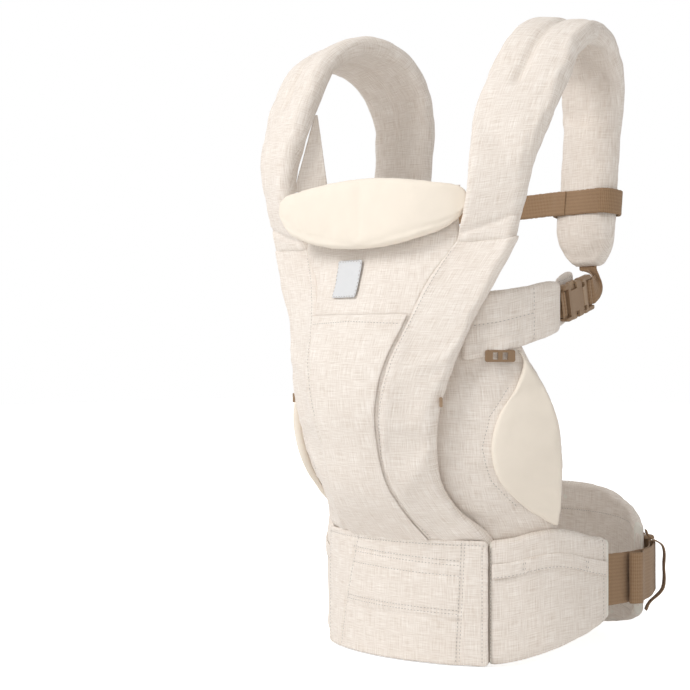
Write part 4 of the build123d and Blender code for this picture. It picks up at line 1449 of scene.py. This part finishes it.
class CARRIER_OT_hardware(bpy.types.Operator):
    """Builds the webbing and finishes the buckles and other moulded pieces."""

    bl_idname = "carrier.hardware"
    bl_label = "Build webbing and buckles"

    def execute(self, context):
        for node in frame["nodes"]:
            if "webbing" not in node and ("socket" in node or "clip" in node or "arm_" in node):
                dress_node(node, "plastic")
        dress_node("seat_width_locks", "plastic")
        webbing("waist_webbing_left", waist_front_route(), tacks(0.1), "waist_webbing_front")
        webbing("waist_webbing_back", waist_rear_route(), tacks(0.07), "waist_webbing_rear")
        node = "lumbar_pad_loops"
        loop = webbing("lumbar_loop_left", lumbar_loop(), tacks(0.04, 0.96), node, node)
        node = "underarm_webbing_left"
        sewn = tacks(0.02, 0.9)
        piece = webbing("underarm_strap_left", underarm_route(), sewn, node, "underarm_webbing_right")
        place, bar = underarm_place(), SOCKET_BARS[25]
        anchor = [edges(place, bar - x, -LEG, 25) for x in (9, 5)] + round_bar(place, bar, 1, 1, 25)
        anchor += [edges(place, bar - x, LEG, 25) for x in (5, 9)]
        webbing("underarm_anchor_left", anchor, [], "underarm_anchors", "underarm_anchors")
        brown = both_sides(loop.stitches() + piece.stitches())
        lay_stitches("underarm_stitching", brown, CARRIER, "brown thread", "tan_webbing")
        node = "chest_loop_left"
        ring = webbing("chest_band_left", chest_ring(), tacks(0.3), node, "chest_loop_right")
        sewn = ring.stitches()
        left = webbing("chest_strap_left", chest_left_route(), tacks(0.06, 0.3, 0.36), "chest_loop_left")
        sewn += left.stitches()
        right = webbing("chest_strap_right", chest_right_route(), tacks(0.2, 0.94), "chest_webbing")
        sewn += right.stitches()
        lay_stitches("chest_stitching", sewn, "chest_strap", "brown thread", "tan_webbing")
        return {"FINISHED"}


# ------------------------------------------------------------------ side wings and guards
UNDERARM_END = Vector((154, -69, 336))
UNDERARM_AIM = Vector((-0.15, 0.95, 0.24))
ANCHOR_GAP, GUARD_REACH, WING_THICK = 5.0, 36.0, 13.0
WING_FLARE = (12, 8, 3, 0)  # how much lower the wing is at each place of its route
WING_TUCK = 10.0  # the wing's root under the side band
WING_ROUTE = [(104, -135, 323), (127, -122, 325), (143, -101, 329), (152, -83, 333)]


def underarm_place():
    aim = UNDERARM_AIM.normalized()
    out = aim.cross(UP).normalized()
    origin = UNDERARM_END + aim * (socket_length(NARROW) + ANCHOR_GAP) + out * 2
    return Place(origin, aim, out)


class CARRIER_OT_side_wings(bpy.types.Operator):
    """Builds the side wings and the guards behind the under-arm buckles."""

    bl_idname = "carrier.side_wings"
    bl_label = "Build side wings"

    def execute(self, context):
        stations = [
            (Vector(p) - UP * (26 + flare), Vector(p) + UP * 26, WING_THICK, 0)
            for p, flare in zip(WING_ROUTE, WING_FLARE)
        ]
        stations.append((UNDERARM_END - UP * 23, UNDERARM_END + UP * 23, WING_THICK, 0))
        seams = [
            Seam([(0.0, 0.05), (0.02, 0.62), (0.02, 0.66)], 0.8, 1.8),
            Seam([(-0.9, 0.66), (0.9, 0.66)], 0.8, 1.6),
            Seam([(-0.5, 0.05), (-0.45, 0.62)], 0.7, 1.8, stitched=False),
        ]
        wing = Sewn(
            "side_wing_sewn_left", Band(stations), 1, cell=3.6, end=4, corner=4, seams=seams,
            run_on=(WING_TUCK, 0.0),
        )
        wing.settle(grow=0.03, cap=1.5).refine()
        dress_pair(wing, "side_wing", fill=0.6)
        threads = wing.stitches()
        aim = UNDERARM_AIM.normalized()
        place = underarm_place()
        inner = place.z * (2 - NARROW["thick"] / 2 - EASE - 1 - LAYER / 2)
        rows = []
        for reach, low, high in ((0, 22, 24), (0.55, 21, 27), (1, 12, 24)):
            middle = UNDERARM_END + aim * (4 + GUARD_REACH * reach) + inner
            rows.append((middle - UP * low, middle + UP * high, LAYER, 0))
        edge = [Seam([(0.84, 0.05), (0.80, 0.9), (-0.8, 0.93), (-0.84, 0.05)], 0.25, 1.2)]
        guard = Sewn(
            "buckle_guard_sewn_left", Band(rows), 1, cell=2.6, edge=1, end=1, corner=5, seams=edge
        )
        guard.refine()
        dress_pair(guard, "buckle_guard")
        lay_stitches("side_wing_stitching", both_sides(threads + guard.stitches()))
        return {"FINISHED"}


# ------------------------------------------------------------------ leg panels
LEG_THICK, LEG_PAD_THICK = 5.0, 7.0
LEG_TUCK = 9.0  # the panel's top behind the side wing
SEAM_ASIDE = 0.14  # from the leg pad to the seam beside it, in shares of the half width
# height, front edge x and y, leg edge x and y, outward bulge, where the leg pad starts
LEG_LEVELS = [
    (131, 84, -108, 144, -56, 4, 0.97),
    (150, 74, -124, 152, -61, 9, 0.66),
    (175, 68, -138, 161, -70, 13, 0.50),
    (205, 69, -147, 166, -77, 15, 0.46),
    (235, 75, -150, 163, -81, 14, 0.52),
    (262, 82, -147, 153, -88, 11, 0.72),
    (285, 88, -142, 142, -98, 7, 0.94),
    (296, 92, -139, 137, -104, 5, 0.97),
]

LEG_FOOT = (114, 92, -98, 140, -54, 2, 0.97)


def leg_point(level, share, stand):
    z, x0, y0, x1, y1, bulge, _ = level
    a, b = Vector((x0, y0, z)), Vector((x1, y1, z))
    out = Vector((b.y - a.y, a.x - b.x, 0)).normalized()
    return a + (b - a) * share + out * (4 * bulge * share * (1 - share) + stand)


class CARRIER_OT_legs(bpy.types.Operator):
    """Builds the panels beside the baby's legs and the soft pads on them."""

    bl_idname = "carrier.legs"
    bl_label = "Build leg panels"

    def execute(self, context):
        inward = (-0.66, 0.75, 0)
        rows = [tuple(leg_point(level, s, 0) for s in (0, 0.5, 1)) for level in [LEG_FOOT] + LEG_LEVELS]
        sheet = Sheet(rows, inward, LEG_THICK)
        beside = [
            (2 * level[-1] - 1 - SEAM_ASIDE, mark / sheet.length)
            for level, mark in zip([LEG_FOOT] + LEG_LEVELS, sheet.marks)
            if level[-1] < 0.9
        ]
        panel = Sewn(
            "leg_cloth_left", sheet, -1, edge=2.5, end=2.5, run_on=(0.0, LEG_TUCK),
            seams=[Seam(beside, 0.9, 1.8)],
        )
        panel.settle(pressure=1.0, grow=0.02, cap=1.2).refine()
        dress_pair(panel, "leg_panel", fill=0.3)
        lay_stitches("leg_stitching", both_sides(panel.stitches()))
        stand = LEG_PAD_THICK + EASE
        rows = []
        for level in LEG_LEVELS:
            start = level[-1]
            rows.append(tuple(leg_point(level, s, stand) for s in (start, (start + 1) / 2, 1)))
        sheet = Sheet(rows, inward, LEG_PAD_THICK)
        pad = Sewn("leg_pad_sewn_left", sheet, -1, edge=3.5, end=3.5, crown=0.5)
        pad.settle(pressure=3.0, grow=0.01, cap=1.0).refine()
        dress_pair(pad, "leg_pad", "knit", "cream_knit", fill=0.6)
        return {"FINISHED"}


# ------------------------------------------------------------------ stage, light and camera
CAMERA_PLACE = Vector((1.116, -1.330, 0.300))
CAMERA_AIM = Vector((-0.7005, 0.7136, 0.0))
CAMERA_LENS = 88.7
SENSOR = 36.0
# name, place and width in metres, and power in watts
LIGHTS = [("key_light", (-0.9, -2.4, 2.5), 1.6, 61), ("fill_light", (2.4, -1.9, 1.2), 1.8, 9)]
LIGHT_AIM = (0, 0, 0.3)
WORLD_TINT, WORLD_STRENGTH = (1, 0.985, 0.965, 1), 0.58
FLOOR_HALF, FLOOR_DROP, FLOOR_GLOW = 6, 0.5 * MM, 0.62


def soft_light(name, place, width, power):
    lamp = bpy.data.lights.new(name, "AREA")
    lamp.shape = "DISK"
    lamp.size = width
    lamp.energy = power
    obj = bpy.data.objects.new(name, lamp)
    obj.location = place
    obj.rotation_euler = (Vector(LIGHT_AIM) - Vector(place)).to_track_quat("-Z", "Y").to_euler()
    bpy.context.scene.collection.objects.link(obj)


class CARRIER_OT_stage(bpy.types.Operator):
    """Builds the pale floor, the soft lights and the camera."""

    bl_idname = "carrier.stage"
    bl_label = "Build stage"

    def execute(self, context):
        scene = context.scene
        scene.view_settings.view_transform = "Standard"
        bm = bmesh.new()
        bmesh.ops.create_grid(bm, x_segments=2, y_segments=2, size=FLOOR_HALF)
        for vert in bm.verts:
            vert.co.z = CAD_BOX[0][2] - FLOOR_DROP
        floor = new_object("floor", bm)
        material, tree, shader = new_finish("Floor", FLOOR_ROUGH)
        tint = stretched_noise(tree, coordinates(tree, False), (3, 3, 3), 1.0)
        shade = mix_colours(tree, tint, darker(colours().floor, 0.99), colours().floor)
        tree.links.new(shade, shader.inputs["Base Color"])
        path = tree.nodes.new("ShaderNodeLightPath")
        seen = math_node(tree, "MAXIMUM", path.outputs["Is Camera Ray"], path.outputs["Is Glossy Ray"])
        glow = add_node(tree, "ShaderNodeEmission", Strength=FLOOR_GLOW)
        both = tree.nodes.new("ShaderNodeAddShader")
        tree.links.new(shader.outputs[0], both.inputs[0])
        tree.links.new(glow.outputs[0], both.inputs[1])
        pick = tree.nodes.new("ShaderNodeMixShader")
        tree.links.new(seen, pick.inputs[0])
        tree.links.new(shader.outputs[0], pick.inputs[1])
        tree.links.new(both.outputs[0], pick.inputs[2])
        tree.links.new(pick.outputs[0], tree.nodes["Material Output"].inputs["Surface"])
        floor.data.materials.append(material)
        self.make_world(scene)
        for light in LIGHTS:
            soft_light(*light)
        lens = bpy.data.cameras.new("camera")
        lens.lens = CAMERA_LENS
        lens.sensor_width = SENSOR
        lens.clip_end = 50
        camera = bpy.data.objects.new("camera", lens)
        camera.location = CAMERA_PLACE
        camera.rotation_euler = CAMERA_AIM.to_track_quat("-Z", "Y").to_euler()
        scene.collection.objects.link(camera)
        scene.camera = camera
        return {"FINISHED"}

    def make_world(self, scene):
        world = bpy.data.worlds.new("Studio")
        world.use_nodes = True
        scene.world = world
        tree = world.node_tree
        light = tree.nodes["Background"]
        light.inputs["Color"].default_value = WORLD_TINT
        light.inputs["Strength"].default_value = WORLD_STRENGTH
        white = tree.nodes.new("ShaderNodeBackground")
        white.inputs["Color"].default_value = (1, 1, 1, 1)
        white.inputs["Strength"].default_value = 1.0
        path = tree.nodes.new("ShaderNodeLightPath")
        seen = math_node(tree, "MAXIMUM", path.outputs["Is Camera Ray"], path.outputs["Is Glossy Ray"])
        pick = tree.nodes.new("ShaderNodeMixShader")
        tree.links.new(seen, pick.inputs[0])
        tree.links.new(light.outputs[0], pick.inputs[1])
        tree.links.new(white.outputs[0], pick.inputs[2])
        tree.links.new(pick.outputs[0], tree.nodes["World Output"].inputs["Surface"])


# ------------------------------------------------------------------ panel and registration
OPERATORS = (
    CARRIER_OT_stage,
    CARRIER_OT_belt,
    CARRIER_OT_lumbar,
    CARRIER_OT_seat,
    CARRIER_OT_straps,
    CARRIER_OT_headrest,
    CARRIER_OT_side_wings,
    CARRIER_OT_legs,
    CARRIER_OT_hardware,
)


class CARRIER_PT_panel(bpy.types.Panel):
    """Lists the colours, sizes and steps of the carrier."""

    bl_label = "Baby Carrier"
    bl_idname = "CARRIER_PT_panel"
    bl_space_type = "VIEW_3D"
    bl_region_type = "UI"
    bl_category = "Carrier"

    def draw(self, context):
        for group in (context.scene.carrier_colours, context.scene.carrier_sizes):
            for key in group.bl_rna.properties.keys():
                if key not in ("rna_type", "name"):
                    self.layout.prop(group, key)
        for operator in OPERATORS:
            self.layout.operator(operator.bl_idname)


CLASSES = (CarrierColours, CarrierSizes) + OPERATORS + (CARRIER_PT_panel,)


def register():
    for cls in CLASSES:
        bpy.utils.register_class(cls)
    bpy.types.Scene.carrier_colours = PointerProperty(type=CarrierColours)
    bpy.types.Scene.carrier_sizes = PointerProperty(type=CarrierSizes)


def unregister():
    del bpy.types.Scene.carrier_sizes
    del bpy.types.Scene.carrier_colours
    for cls in reversed(CLASSES):
        bpy.utils.unregister_class(cls)


def main():
    register()
    for operator in OPERATORS:
        group, step = operator.bl_idname.split(".")
        getattr(getattr(bpy.ops, group), step)()


if __name__ == "__main__":
    main()
